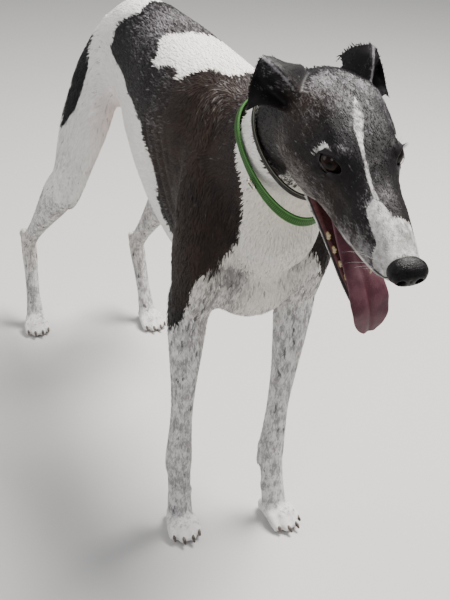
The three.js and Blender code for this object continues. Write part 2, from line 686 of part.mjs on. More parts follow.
function strap(sizes) {
  const steps = 24;
  const { width, thick } = sizes;
  const points = [];
  const faces = [];
  for (let j = 0; j < steps; j++) {
    const { middle, forward, out } = strapAt(sizes, (2 * Math.PI * j) / steps);
    for (const [w, d] of [[-1, -1], [1, -1], [1, 1], [-1, 1]]) {
      const corner = middle.clone().addScaledVector(forward, (w * width) / 2);
      points.push(corner.addScaledVector(out, (d * thick) / 2));
    }
    const next = (j + 1) % steps;
    for (let k = 0; k < 4; k++) {
      const l = (k + 1) % 4;
      const [a, b, c, d] = [4 * j + k, 4 * j + l, 4 * next + l, 4 * next + k];
      faces.push(a, b, c, a, c, d);
    }
  }
  return solidFrom(points, faces);
}

// The metal ring that hangs against the outer face of the green strap
function ring() {
  const [radius, wire, drop] = [6.5, 1.4, 6];
  const { middle, out } = strapAt(straps.green, ringAngle);
  const down = vec(0, 0, -1).addScaledVector(out, out.z).normalize();
  const centre = middle
    .addScaledVector(out, straps.green.thick / 2 + gap + wire + 2.6)
    .addScaledVector(down, drop);
  const place = new THREE.Matrix4().makeBasis(down.clone().cross(out), down, out).setPosition(centre);
  return solidOf(new THREE.TorusGeometry(radius, wire, 5, 14), place);
}

// A solid cut out of another by a pocket of planes [point, normal]: the solid lies on the side of every plane
// that its normal points to. Gives [the piece in the pocket, the rest], with the gap between them.
function carved(solid, planes) {
  const pocket = (by) =>
    planes
      .map(([point, normal]) => {
        const unit = vec(...normal).normalize();
        return beyond(vec(...point).addScaledVector(unit, by).toArray(), normal);
      })
      .reduce((a, b) => a.intersect(b));
  return [solid.intersect(pocket(gap / 2)), solid.subtract(pocket(-gap / 2))];
}

const colours = {
  white: 0xe9e6e0,
  black: 0x2b2829,
  grey: 0x5d5a5d,
  ticked: 0xc9c7c6,
  ear: 0x2a2628,
  nose: 0x1b1a1c,
  eye: 0x2a1712,
  tongue: 0xb56a78,
  jaw: 0xb8aca2,
  green: 0x4f8a37,
  strap: 0x17171a,
  metal: 0xa9a69c,
};

const group = new THREE.Group();
function addNode(name, solid, colour, roughness = 0.85, metalness = 0) {
  const made = largest(solid).getMesh();
  const geometry = new THREE.BufferGeometry();
  geometry.setAttribute("position", new THREE.BufferAttribute(new Float32Array(made.vertProperties), 3));
  geometry.setIndex(new THREE.BufferAttribute(new Uint32Array(made.triVerts), 1));
  geometry.translate(-originX, -originY, 0);
  geometry.computeVertexNormals();
  const material = new THREE.MeshStandardMaterial({ color: colour, roughness, metalness });
  const mesh = new THREE.Mesh(geometry, material);
  mesh.name = name;
  group.add(mesh);
}

// The tail ends in a root that goes into the rump
const [hanging, root] = carved(tail, [[[-398, 0, 0], [-1, 0, 0]]]);
addNode("tail", hanging, colours.black);

// The body above the floor, in one piece
let body = joined([
  torso(),
  wholeNeck(),
  ball(214, 3, 462, 58, 70, 76, 14, 10),
  root,
  ...Object.values(legs.front).map(frontLeg),
  ...Object.values(legs.hind).map(hindLeg),
]).subtract(beyond([0, 0, 0], [0, 0, -1]));

// The legs, cut off from the feet upwards
for (const [name, leg] of Object.entries(legs.front)) {
  const { side, elbow, wrist } = leg;
  const beside = [[0, side * 38, 0], [0, side, 0]];
  const ahead = [[90, 0, 0], [1, 0, 0]];
  let piece;
  [piece, body] = carved(body, [[[0, 0, wrist[2] - 6], [0, 0, -1]], beside, ahead]);
  addNode("forepaw_" + name, piece, colours.ticked);
  [piece, body] = carved(body, [[[elbow[0], 0, elbow[2] - 8], [0.1, 0, -1]], beside, ahead]);
  addNode("forearm_" + name, piece, colours.ticked);
  [piece, body] = carved(body, [
    [[0, side * 56, 400], [0, side, 0.1]],
    [[126, 0, 500], [1, 0, 0.05]],
    [[266, 0, 600], [-0.91, 0, -0.41]],
  ]);
  addNode("shoulder_" + name, piece, name === "right" ? colours.black : colours.grey);
}
for (const [name, leg] of Object.entries(legs.hind)) {
  const { side, knee, hock } = leg;
  const behind = [[-180, 0, 0], [-1, 0, 0]];
  const beside = [[0, side * 5, 0], [0, side, 0]];
  const outside = [[0, side * 35, 0], [0, side, 0]];
  let piece;
  [piece, body] = carved(body, [[[hock[0], 0, hock[2] + 24], [-0.35, 0, -0.94]], outside, behind]);
  addNode("hindpaw_" + name, piece, colours.ticked);
  [piece, body] = carved(body, [[[knee[0], 0, knee[2] + 4], [-0.45, 0, -0.9]], outside, behind]);
  addNode("shank_" + name, piece, colours.ticked);
  [piece, body] = carved(body, [
    [[0, side * 40, 640], [0, side, -0.28]],
    beside,
    [[-196, 0, 600], [-1, 0, -0.1]],
  ]);
  addNode("thigh_" + name, piece, colours.white);
}

// Loin, chest and neck
let rest;
[rest, body] = carved(body, [[[-70, 0, 0], [-1, 0, 0]]]);
addNode("loin", rest, colours.black);
[rest, body] = carved(body, [[[235, 0, 640], [-0.75, 0, -0.66]]]);
addNode("chest", rest, colours.white);

// Head: the back of the skull ends at a plane behind the ears, where the neck begins
const nape = [headPoint(-108, 0, -10), headAxis(1, 0, 0.35)];
const orbits = [1, -1].map((sign) => ball(eyeX - 4, sign * (eyeY - 8), eyeZ + 0.5, 21.5, 20.5, 16.5, 14, 10));
const sockets = [1, -1].flatMap((sign) => [eyeBall(sign, gap), eyeOpening(sign)]);
const wholeHead = inHead(joined([skull(), ...orbits]));
const headAndNeck = joined([body, wholeHead]);
const [front, neck] = carved(headAndNeck, [nape]);
addNode("neck", neck, colours.white);
const hollows = inHead(joined([...sockets, palate(), belowLips()]));
const head = joined([front.subtract(hollows), ...arch(upperTeeth, 1).map(inHead)]).subtract(inHead(nosePad(gap)));
addNode("head", head, colours.grey);
addNode("nose", inHead(nose()), colours.nose, 0.45);
const around = joined([wholeNeck(gap), inHead(skull(gap))]);
addNode("jaw", inHead(lowerJaw()).subtract(around).subtract(inHead(tongue(gap))), colours.jaw);
addNode("tongue", inHead(tongue()).subtract(around), colours.tongue, 0.4);
for (const [name, lines] of Object.entries(ears)) {
  addNode("ear_" + name, inHead(ear(lines)).subtract(around), colours.ear);
  addNode("eye_" + name, inHead(eyeBall(name === "left" ? 1 : -1)), colours.eye, 0.15);
}

// Straps: a wide green one that hangs low, with a ring, and a narrow dark one behind the jaws
addNode("collar_green", strap(straps.green).subtract(around), colours.green);
addNode("collar_ring", ring(), colours.metal, 0.35, 0.9);
addNode("collar_dark", strap(straps.dark).subtract(around), colours.strap);

export default group;
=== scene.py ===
import bpy
import numpy as np
from mathutils import Matrix, Vector


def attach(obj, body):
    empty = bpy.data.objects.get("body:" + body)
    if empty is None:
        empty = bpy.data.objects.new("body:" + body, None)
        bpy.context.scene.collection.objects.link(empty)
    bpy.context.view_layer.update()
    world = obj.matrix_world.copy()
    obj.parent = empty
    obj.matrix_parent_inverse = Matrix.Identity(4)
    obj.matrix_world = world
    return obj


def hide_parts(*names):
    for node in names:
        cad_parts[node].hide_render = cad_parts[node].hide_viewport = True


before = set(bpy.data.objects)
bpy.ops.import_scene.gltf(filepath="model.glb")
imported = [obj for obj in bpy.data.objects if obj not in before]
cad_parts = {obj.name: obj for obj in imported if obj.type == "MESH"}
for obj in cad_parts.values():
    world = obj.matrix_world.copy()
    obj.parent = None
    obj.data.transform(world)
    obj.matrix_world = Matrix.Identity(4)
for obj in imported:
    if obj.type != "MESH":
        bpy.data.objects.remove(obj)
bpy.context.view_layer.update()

# The tables give the dog in millimetres, +X to the head and +Z up; toFrame turns them into the frame's metres.
origin = np.array([51.0, -24.0, 0.0])
toFrame = lambda points: (np.asarray(points, float) - origin) / 1000
toTable = lambda points: np.asarray(points, float) * 1000 + origin
unit = lambda v: v / np.maximum(np.linalg.norm(v, axis=-1, keepdims=True), 1e-12)
# from 0 at low to 1 at high, as w^2 * (3 - 2 w)
smooth = lambda v, low, high: (lambda w: w * w * (3 - 2 * w))(np.clip((v - low) / (high - low), 0, 1))
fullTurn = lambda count: 2 * np.pi * np.arange(count) / count

# camera, light and floor, in metres, degrees and watts
view = {
    "place": (1.151, -0.495, 1.055), "yaw": 153.87, "pitch": 30.2, "roll": 2.57, "lens": 56.4,
    "floorSize": 14.0, "floorColour": (0.56, 0.55, 0.535), "worldColour": (0.93, 0.95, 1.0), "worldStrength": 0.42,
}
lamps = {
    "keyLight": {"place": (-0.1, 1.15, 2.95), "target": (0.2, 0, 0.5), "size": 1.5, "power": 262,
        "colour": (1.0, 0.97, 0.93)},
    "fillLight": {"place": (2.6, -2.3, 2.6), "target": (0.2, 0, 0.5), "size": 1.4, "power": 30,
        "colour": (0.95, 0.97, 1.0)},
    "sideLight": {"place": (-1.2, -2.3, 1.5), "target": (-0.1, 0, 0.4), "size": 1.8, "power": 26,
        "colour": (1.0, 0.98, 0.95)},
}


def addCamera():
    # looks along yaw and pitch, then turned about its own axis by the roll
    yaw, pitch, roll = np.radians([view["yaw"], view["pitch"], view["roll"]])
    ahead = np.array([np.cos(yaw) * np.cos(pitch), np.sin(yaw) * np.cos(pitch), -np.sin(pitch)])
    right = unit(np.cross(ahead, [0, 0, 1]))
    above = np.cross(right, ahead)
    x = np.cos(roll) * right + np.sin(roll) * above
    y = -np.sin(roll) * right + np.cos(roll) * above
    camera = bpy.data.objects.new("camera", bpy.data.cameras.new("camera"))
    camera.data.lens = view["lens"]
    camera.data.sensor_width = 36
    camera.data.clip_start = 0.01
    turn = Matrix([[x[i], y[i], -ahead[i]] for i in range(3)]).to_4x4()
    camera.matrix_world = Matrix.Translation(view["place"]) @ turn
    bpy.context.collection.objects.link(camera)
    bpy.context.scene.camera = camera


def addLight(name, place, target, size, power, colour):
    lamp = bpy.data.lights.new(name, "AREA")
    lamp.shape = "DISK"
    lamp.size = size
    lamp.energy = power
    lamp.color = colour
    thing = bpy.data.objects.new(name, lamp)
    thing.location = place
    thing.rotation_euler = (Vector(target) - Vector(place)).to_track_quat("-Z", "Y").to_euler()
    bpy.context.collection.objects.link(thing)


addCamera()
for name, lamp in lamps.items():
    addLight(name, **lamp)
world = bpy.data.worlds.new("studio")
world.use_nodes = True
background = world.node_tree.nodes["Background"]
background.inputs[0].default_value = (*view["worldColour"], 1)
background.inputs[1].default_value = view["worldStrength"]
bpy.context.scene.world = world
print("camera and light ready")


def shadeSmooth(mesh):
    mesh.polygons.foreach_set("use_smooth", np.ones(len(mesh.polygons), bool))


def newPiece(name, points, faces):
    mesh = bpy.data.meshes.new(name)
    mesh.from_pydata(np.asarray(points).tolist(), [], np.asarray(faces).tolist())
    shadeSmooth(mesh)
    piece = bpy.data.objects.new(name, mesh)
    bpy.context.collection.objects.link(piece)
    return piece


def meshPoints(mesh, kind="co"):
    values = np.empty(len(mesh.vertices) * 3, np.float32)
    mesh.vertices.foreach_get(kind, values)
    return values.reshape(-1, 3).astype(float)


def trianglesOf(mesh):
    mesh.calc_loop_triangles()
    corners = np.empty(len(mesh.loop_triangles) * 3, np.int32)
    mesh.loop_triangles.foreach_get("vertices", corners)
    return corners.reshape(-1, 3)


def finished(piece):
    # the piece's mesh with its modifiers worked in, in place of the old one
    graph = bpy.context.evaluated_depsgraph_get()
    graph.update()
    mesh = bpy.data.meshes.new_from_object(piece.evaluated_get(graph))
    old = piece.data
    piece.modifiers.clear()
    piece.data = mesh
    bpy.data.meshes.remove(old)
    return piece


def remeshed(piece, voxel):
    step = piece.modifiers.new("voxels", "REMESH")
    step.mode = "VOXEL"
    step.voxel_size = voxel / 1000
    return finished(piece)


def cutAway(piece, cutters):
    for cutter in cutters:
        step = piece.modifiers.new("cut", "BOOLEAN")
        step.operation = "DIFFERENCE"
        step.solver = "MANIFOLD"
        step.object = cutter
    finished(piece)
    for cutter in cutters:
        bpy.data.objects.remove(cutter)
    return piece


def thinned(piece, most):
    # fewer faces where the surface is even, until at most that many triangles are left
    count = len(piece.data.loops) - 2 * len(piece.data.polygons)
    if count > most:
        step = piece.modifiers.new("thin", "DECIMATE")
        step.ratio = most / count
        finished(piece)
    shadeSmooth(piece.data)
    return piece


def relax(piece, amount, rounds):
    # each point moves towards the mean of its neighbours, by its own share `amount`
    mesh = piece.data
    points = meshPoints(mesh)
    ends = np.empty(len(mesh.edges) * 2, np.int32)
    mesh.edges.foreach_get("vertices", ends)
    a, b = ends.reshape(-1, 2).T
    count = np.bincount(a, minlength=len(points)) + np.bincount(b, minlength=len(points))
    for _ in range(rounds):
        total = np.stack([
            np.bincount(a, points[b, i], len(points)) + np.bincount(b, points[a, i], len(points)) for i in range(3)
        ], 1)
        points += (total / count[:, None] - points) * amount[:, None]
    setPoints(piece, points)


def setPoints(piece, points):
    piece.data.vertices.foreach_set("co", np.asarray(points, np.float32).ravel())
    piece.data.update()


def join(parts):
    # several (points, faces) as one
    counts = np.cumsum([0] + [len(p) for p, _ in parts])
    points = np.concatenate([p for p, _ in parts])
    faces = np.concatenate([f + c for (_, f), c in zip(parts, counts)])
    return points, faces


def along(rows, t):
    # a cubic through every row, with the slope at a row taken from its two neighbours
    rows = np.asarray(rows, float)
    t = np.atleast_1d(t)
    last = len(rows) - 1
    places = np.concatenate([[0], np.cumsum(np.linalg.norm(np.diff(rows[:, :3], axis=0), axis=1))])
    s = np.clip(t, 0, 1) * places[-1]
    k = np.clip(np.searchsorted(places, s, side="right") - 1, 0, last - 1)
    low = np.maximum(np.arange(last + 1) - 1, 0)
    high = np.minimum(np.arange(last + 1) + 1, last)
    slopes = (rows[high] - rows[low]) / (places[high] - places[low])[:, None]
    span = (places[k + 1] - places[k])[:, None]
    w = (s - places[k])[:, None] / span
    return (
        (2 * w**3 - 3 * w**2 + 1) * rows[k] + (w**3 - 2 * w**2 + w) * slopes[k] * span
        + (3 * w**2 - 2 * w**3) * rows[k + 1] + (w**3 - w**2) * slopes[k + 1] * span
    )


def cellFaces(a, b, c, d):
    # two triangles for each cell of a grid, a and b on one ring and c and d on the next
    return np.concatenate([np.stack(three, -1).reshape(-1, 3) for three in ((a, b, c), (b, d, c))])


def gridFaces(rows, columns):
    # triangles between rings of points, with a pole before the first and after the last ring
    i, j = np.indices((rows - 1, columns))
    a, b = 1 + i * columns + j, 1 + i * columns + (j + 1) % columns
    j = np.arange(columns)
    nextJ = (j + 1) % columns
    tail = 1 + (rows - 1) * columns
    first = np.stack([np.zeros_like(j), 1 + nextJ, 1 + j], -1)
    end = np.stack([np.full_like(j, 1 + rows * columns), tail + j, tail + nextJ], -1)
    return np.concatenate([cellFaces(a, b, a + columns, b + columns), first, end])


def loopFaces(rows, columns):
    # triangles between rings that run round and back into the first
    i, j = np.indices((rows, columns))
    nextI, nextJ = (i + 1) % rows, (j + 1) % columns
    return cellFaces(i * columns + j, i * columns + nextJ, nextI * columns + j, nextI * columns + nextJ)


def outward(points, faces):
    # turns the faces round if the closed surface has a negative volume
    a, b, c = points[faces[:, 0]], points[faces[:, 1]], points[faces[:, 2]]
    flipped = np.einsum("ij,ij->", a, np.cross(b, c)) < 0
    return points, faces[:, ::-1] if flipped else faces


def loft(rows, up=(0, 0, 1), rings=24, sides=32, startDome=8, endDome=8, domeRings=6):
    # a super-ellipse carried along a table of rows [x, y, z, above, below, left, right, square, keel]:
    # across = cos^(2/square) * half width * (1 + keel * sin), rise = sin^(2/square) * height, domes at the ends
    t = np.linspace(0, 1, rings)
    row = along(rows, t)
    forward = unit(along(rows, np.minimum(t + 0.01, 1))[:, :3] - along(rows, np.maximum(t - 0.01, 0))[:, :3])
    upward = np.asarray(up, float) - (forward @ np.asarray(up, float))[:, None] * forward
    upward = unit(upward)
    side = np.cross(upward, forward)
    side *= np.where(side[:, 1:2] < 0, -1, 1)
    bend = np.radians(np.linspace(78, 12, domeRings))
    order = np.concatenate([np.zeros(domeRings, int), np.arange(rings), np.full(domeRings, rings - 1)])
    scale = np.concatenate([np.cos(bend), np.ones(rings), np.cos(bend[::-1])])
    shift = np.concatenate([-startDome * np.sin(bend), np.zeros(rings), endDome * np.sin(bend[::-1])])
    row, forward, upward, side = row[order], forward[order], upward[order], side[order]
    angle = 2 * np.pi * (np.arange(sides) + 0.5) / sides
    c, s = np.cos(angle)[None], np.sin(angle)[None]
    above, below, left, right, square, keel = (row[:, i : i + 1] for i in range(3, 9))
    power = 2 / square
    across = np.sign(c) * np.abs(c) ** power * np.where(c > 0, left, right) * (1 + keel * s)
    rise = np.sign(s) * np.abs(s) ** power * np.where(s > 0, above, below)
    ring = (
        row[:, None, :3] + side[:, None] * (across * scale[:, None])[..., None]
        + upward[:, None] * (rise * scale[:, None])[..., None] + (forward * shift[:, None])[:, None]
    )
    first = row[0, :3] - forward[0] * startDome
    last = row[-1, :3] + forward[-1] * endDome
    points = np.concatenate([first[None], ring.reshape(-1, 3), last[None]])
    return outward(points, gridFaces(len(order), sides))


def ball(centre, radii, across=32, down=16):
    # a sphere scaled along each axis
    lat = np.pi * (np.arange(1, down)) / down
    lon = fullTurn(across)
    ring = np.stack([
        np.sin(lat)[:, None] * np.cos(lon), np.sin(lat)[:, None] * np.sin(lon), np.cos(lat)[:, None] + 0 * lon
    ], -1)
    points = np.concatenate([[[0, 0, 1]], ring.reshape(-1, 3), [[0, 0, -1]]])
    return outward(points * np.asarray(radii, float) + np.asarray(centre, float), gridFaces(down - 1, across))


def turned(shape, turn, at=(0, 0, 0)):
    points, faces = shape
    return points @ np.asarray(turn).T + np.asarray(at, float), faces


def turnAbout(axis, degrees):
    return np.array(Matrix.Rotation(np.radians(degrees), 3, axis))


dog = {
    "bodyVoxel": 2.5, "headVoxel": 1.15, "noseVoxel": 0.8, "coatDepth": 1.4, "faceDepth": 0.6,
    "bodyTriangles": 150000, "headTriangles": 190000,
    "headAt": (520, -53, 740), "headYaw": -8.1, "headPitch": 18.7, "headRoll": 2.8, "jawOpen": 28,
    "jawJoint": (-60, 0, -22), "eyeRadius": 12, "eyeAt": (5.5, 28.5, 1.5), "eyeAxis": (0.72, 0.64, 0.26),
}
# torso: [x, shift, top, widest level, bottom, half width, square, keel]
torsoTable = [
    [290, 0, 576, 510, 451, 42, 2.0, 0],
    [268, 1, 634, 530, 424, 60, 2.2, 0],
    [235, 2, 676, 550, 402, 71, 2.3, 0],
    [190, 2, 700, 565, 386, 77, 2.25, 0.05],
    [140, 1, 707, 572, 378, 83, 2.15, 0.14],
    [80, 3, 708, 572, 382, 88, 2.15, 0.16],
    [20, 5, 712, 576, 396, 88, 2.15, 0.15],
    [-40, 7, 720, 586, 421, 82, 2.15, 0.12],
    [-100, 7, 729, 602, 460, 72, 2.15, 0.08],
    [-155, 6, 731, 618, 498, 63, 2.1, 0.04],
    [-205, 5, 723, 622, 524, 58, 2.1, 0],
    [-255, 4, 701, 612, 528, 57, 2.0, 0],
    [-305, 3, 671, 598, 520, 56, 2.0, 0],
    [-350, 1, 636, 580, 514, 47, 2.0, 0],
    [-376, 0, 606, 568, 528, 34, 2.0, 0],
]
# neck, tongue, nose and tail are rows for loft: [x, y, z, above, below, left, right, square, keel]
neckRows = [
    [130, 0, 600, 86, 130, 62, 62, 2.1, 0],
    [195, 0, 618, 80, 126, 61, 61, 2.1, -0.05],
    [250, -5, 644, 70, 116, 57, 57, 2.1, -0.06],
    [300, -13, 672, 60, 90, 52, 52, 2.1, -0.05],
    [345, -22, 699, 55, 68, 49, 49, 2.1, -0.03],
    [388, -31, 724, 52, 58, 47, 47, 2.1, 0],
    [430, -40, 745, 48, 52, 45, 45, 2.1, 0],
]
headTurn = turnAbout("Z", dog["headYaw"]) @ turnAbout("Y", dog["headPitch"]) @ turnAbout("X", dog["headRoll"])
headAt = np.array(dog["headAt"], float)
inHead = lambda shape: turned(shape, headTurn, headAt)
toHead = lambda points: (points - headAt) @ headTurn

# skull: [x, top, widest level, bottom, half width, square, keel] in the head's frame, x from between the eyes
skullTable = [
    [-130, 2, -14, -40, 28, 2.0, 0],
    [-112, 17, -12, -62, 41, 2.1, 0.02],
    [-88, 28, -12, -76, 49, 2.3, 0.02],
    [-60, 33.5, -14, -82, 52, 2.45, 0.02],
    [-35, 32, -15, -81, 50.5, 2.45, 0.0],
    [-12, 27, -17, -76, 45.5, 2.45, -0.02],
    [8, 20, -22, -71, 39.5, 2.4, -0.05],
    [26, 12.5, -27, -67, 34.5, 2.35, -0.08],
    [45, 6, -30, -63, 31, 2.4, -0.1],
    [65, 2, -31, -59, 28.5, 2.5, -0.1],
    [85, -2.5, -31, -54, 25, 2.5, -0.09],
    [103, -7, -30, -49, 21.5, 2.4, -0.05],
    [119, -12, -28.5, -42, 17.5, 2.3, 0],
]
# palate: [x, top, half width, level of the lips' edge]
palateTable = [
    [-30, -62, 18, -74],
    [-5, -50, 27, -62],
    [25, -42, 27.5, -52],
    [55, -38, 24, -47.5],
    [82, -36.5, 19, -45.5],
    [101, -37.5, 12, -43],
]
# lower jaw, shut: [x, centre height, above, below, half width]
jawTable = [
    [-62, -46, 12, 14, 33],
    [-35, -54, 11, 15, 33],
    [-5, -57, 9, 14, 30],
    [25, -55, 8, 12, 25],
    [55, -53, 7, 10.5, 20.5],
    [80, -51.5, 6.5, 9, 17],
    [100, -50.5, 6, 8, 13],
]
tongueRows = [
    [-18, 0, -64, 4.5, 4.5, 16, 16, 2.2, 0],
    [16, 0, -82, 4.5, 4.5, 17, 17, 2.2, 0],
    [46, 1, -97, 4, 4.5, 18, 18, 2.2, 0],
    [66, 2.5, -106, 4, 4, 19.5, 19.5, 2.2, 0],
    [78, 4, -117, 3.8, 3.8, 21.5, 21.5, 2.2, 0],
    [84.5, 5.5, -129, 3.4, 3.4, 20.5, 20.5, 2.2, 0],
    [87, 6, -139, 3, 3, 17, 17, 2.1, 0],
    [88, 6.2, -146, 2.6, 2.6, 12, 12, 2, 0],
    [88.4, 6.3, -150, 2.2, 2.2, 7, 7, 2, 0],
]
noseRows = [
    [114, 0.5, -25, 11, 9, 12.5, 12, 2.2, 0.05],
    [122, 0.5, -25.5, 13, 10.5, 18.5, 17, 2.3, 0.08],
    [129, 1, -26, 12, 10, 19, 17.5, 2.3, 0.1],
    [134, 1, -27, 9, 8, 15.5, 14, 2.2, 0.1],
]
# teeth of one side, the jaw shut: [x, y, z of the root, length, half width]
upperTeeth = [
    [107, 2.4, -37, 6, 2.2],
    [105.5, 6.8, -37, 6, 2.3],
    [102.5, 10.6, -37, 7, 2.5],
    [97, 16, -38, 16, 3.6],
    [76, 16.4, -36, 7, 3.4],
    [62, 18.4, -36.5, 8, 3.8],
    [47, 20.4, -38, 8.5, 4.6],
    [32, 22.4, -40, 7, 4.4],
]
lowerTeeth = [
    [103, 2, -45.5, 6, 2],
    [102, 5.6, -45.5, 6.5, 2],
    [97, 8.8, -46, 8, 3.4],
    [80, 12.2, -46, 6, 3.2],
    [66, 14.6, -46.5, 7, 3.6],
    [51, 17, -47, 8, 4.2],
    [36, 19.4, -48, 9, 4.6],
]
# three lines for each ear, from its inner to its outer edge: at the skull, half way up and at the rim
ears = {
    "left": [
        [[-98, 16, 16], [-86, 26, 20], [-73, 33, 21], [-84, 38, 6], [-68, 42, -4]],
        [[-116, 18, 24], [-101, 28, 36], [-88, 39, 38], [-97, 47, 20], [-76, 54, 4]],
        [[-126, 18, 12], [-116, 25, 34], [-102, 43, 46], [-92, 52, 30], [-79, 62, -3]],
    ],
    "right": [
        [[-97, -16, 14], [-84, -28, 18], [-71, -40, 20], [-82, -48, 4], [-68, -50, 2]],
        [[-110, -24, 24], [-98, -42, 33], [-88, -57, 36], [-96, -67, 18], [-77, -72, 6]],
        [[-111, -22, 13], [-110, -43, 29], [-104, -69, 43], [-95, -80, 24], [-81, -86, -3]],
    ],
}
# the joints of each leg, and the way its foot points in degrees
legs = {
    "front": {
        "right": {"side": -1, "blade": [168, -42, 662], "point": [218, -74, 504], "elbow": [184, -76, 392],
                  "wrist": [177, -82, 128], "toes": [190, -84, 0], "heading": -4},
        "left": {"side": 1, "blade": [168, 44, 662], "point": [224, 80, 504], "elbow": [198, 84, 390],
                 "wrist": [211, 57, 124], "toes": [228, 64, 0], "heading": 14},
    },
    "hind": {
        "right": {"side": -1, "hip": [-290, -47, 592], "knee": [-326, -97, 368], "hock": [-508, -131, 172],
                  "heel": [-536, -135, 194], "toes": [-466, -138, 0], "heading": -6},
        "left": {"side": 1, "hip": [-288, 49, 592], "knee": [-266, 92, 370], "hock": [-436, 76, 165],
                 "heel": [-466, 75, 185], "toes": [-398, 88, 0], "heading": 4},
    },
}
# round a bone: [share of its length, shift forwards, fore, aft, out, in]
bladeRows = [
    [0.0, 0, 26, 28, 18, 22],
    [0.3, 0, 50, 48, 28, 28],
    [0.6, 2, 62, 58, 32, 31],
    [0.85, 2, 58, 62, 32, 32],
    [1.05, -2, 44, 52, 27, 30],
]
upperArmRows = [
    [-0.15, -4, 50, 54, 28, 31],
    [0.2, -2, 52, 55, 31, 32],
    [0.6, 0, 41, 40, 29, 37],
    [0.95, 0, 31, 32, 28, 34],
    [1.12, 0, 28, 29, 26, 29],
]
forearmRows = [
    [-0.12, 0, 33, 34, 28, 29],
    [0.06, 0, 31, 32, 29, 29],
    [0.25, 1, 25.5, 25.5, 25.5, 25],
    [0.45, 1, 20.5, 20.5, 20.5, 20],
    [0.68, 0, 17.5, 18, 17.5, 17.5],
    [0.84, 0, 17.5, 18.5, 19.5, 19],
    [1.0, 0, 18.5, 20.5, 22.5, 21.5],
    [1.08, 0, 17.5, 19.5, 21.5, 21.5],
]
pasternRows = [
    [-0.1, 0, 18, 20, 21.5, 21.5],
    [0.15, 0, 16, 17.5, 20, 20],
    [0.4, 0, 15, 15.5, 19, 19],
    [0.64, 0, 15.5, 16, 20.5, 20.5],
    [0.8, 2, 17, 17, 21, 21],
]
thighRows = [
    [-0.34, 4, 36, 26, 6, 30],
    [-0.16, 4, 60, 48, 15, 34],
    [0.06, 4, 80, 70, 23, 36],
    [0.3, 4, 82, 74, 26, 36],
    [0.55, 2, 70, 70, 27, 34],
    [0.8, 4, 52, 60, 27, 30],
    [1.0, 6, 38, 50, 26, 26],
    [1.1, 4, 29, 42, 24, 23],
]
lowerLegRows = [
    [-0.1, -2, 30, 38, 25, 23],
    [0.06, -4, 35, 44, 29, 26],
    [0.22, -6, 34, 43, 28, 25],
    [0.42, -7, 28, 35, 23, 21],
    [0.62, -7, 21, 28, 18, 17],
    [0.8, -7, 17, 24, 14, 14],
    [0.93, -6, 16, 23, 14.5, 14.5],
    [1.02, -3, 17, 20, 16, 16],
]
heelRows = [
    [0.0, 0, 15, 15, 15, 15],
    [0.55, 0, 12.5, 12.5, 12, 12],
    [0.85, 0, 11.5, 11.5, 11, 11],
]
rearPasternRows = [
    [-0.06, 0, 17, 17, 16, 16],
    [0.1, 0, 17.5, 18, 16.5, 16.5],
    [0.35, 0, 14.5, 15.5, 15, 15],
    [0.6, 0, 13.5, 14.5, 15, 15],
    [0.78, 0, 15, 15, 18, 18],
    [0.9, 2, 17, 17, 20, 20],
]
# toes: [out, reach, height of the knuckle, half width], spread by a share of their way out
toeSpread = 0.14
toeRows = [
    [-17.5, 33, 27, 9],
    [-6.4, 44, 31, 9.4],
    [6.4, 44, 31, 9.4],
    [17.5, 33, 27, 9],
]
tailRows = [
    [-352, 0, 618, 19, 19, 19, 19, 2, 0],
    [-382, 0, 592, 16, 17, 17, 17, 2, 0],
    [-404, -4, 550, 14, 14, 14, 14, 2, 0],
    [-416, -16, 490, 12.5, 12.5, 12.5, 12.5, 2, 0],
    [-420, -34, 420, 11, 11, 11, 11, 2, 0],
    [-428, -54, 350, 9, 9, 9, 9, 2, 0],
    [-446, -74, 290, 7.5, 7.5, 7.5, 7.5, 2, 0],
    [-474, -88, 250, 5.5, 5.5, 5.5, 5.5, 2, 0],
    [-500, -92, 238, 3.5, 3.5, 3.5, 3.5, 2, 0],
]


def levels(table):
    # a loft's rows from rows [x, shift, top, widest level, bottom, half width, square, keel]
    return [[x, y, wide, top - wide, wide - low, half, half, *form] for x, y, top, wide, low, half, *form in table]


def torso():
    return loft(levels(torsoTable), rings=90, sides=96, startDome=14, endDome=10)


def neck():
    return loft(neckRows, rings=60, sides=80, startDome=20, endDome=14)


def limb(a, b, rows, side, rings=30, sides=40, startDome=8, endDome=8):
    # a loft along a bone: a row is [share, shift forwards, fore, aft, out, in]
    start, end = np.array(a, float), np.array(b, float)
    bone = unit(end - start)
    fore = unit(np.array([1.0, 0, 0]) - bone[0] * bone)
    table = []
    for share, shift, front, back, out, inner in rows:
        left, right = (out, inner) if side > 0 else (inner, out)
        table.append([*(start + (end - start) * share + fore * shift), front, back, left, right, 2.1, 0])
    return loft(table, up=(1, 0, 0), rings=rings, sides=sides, startDome=startDome, endDome=endDome)


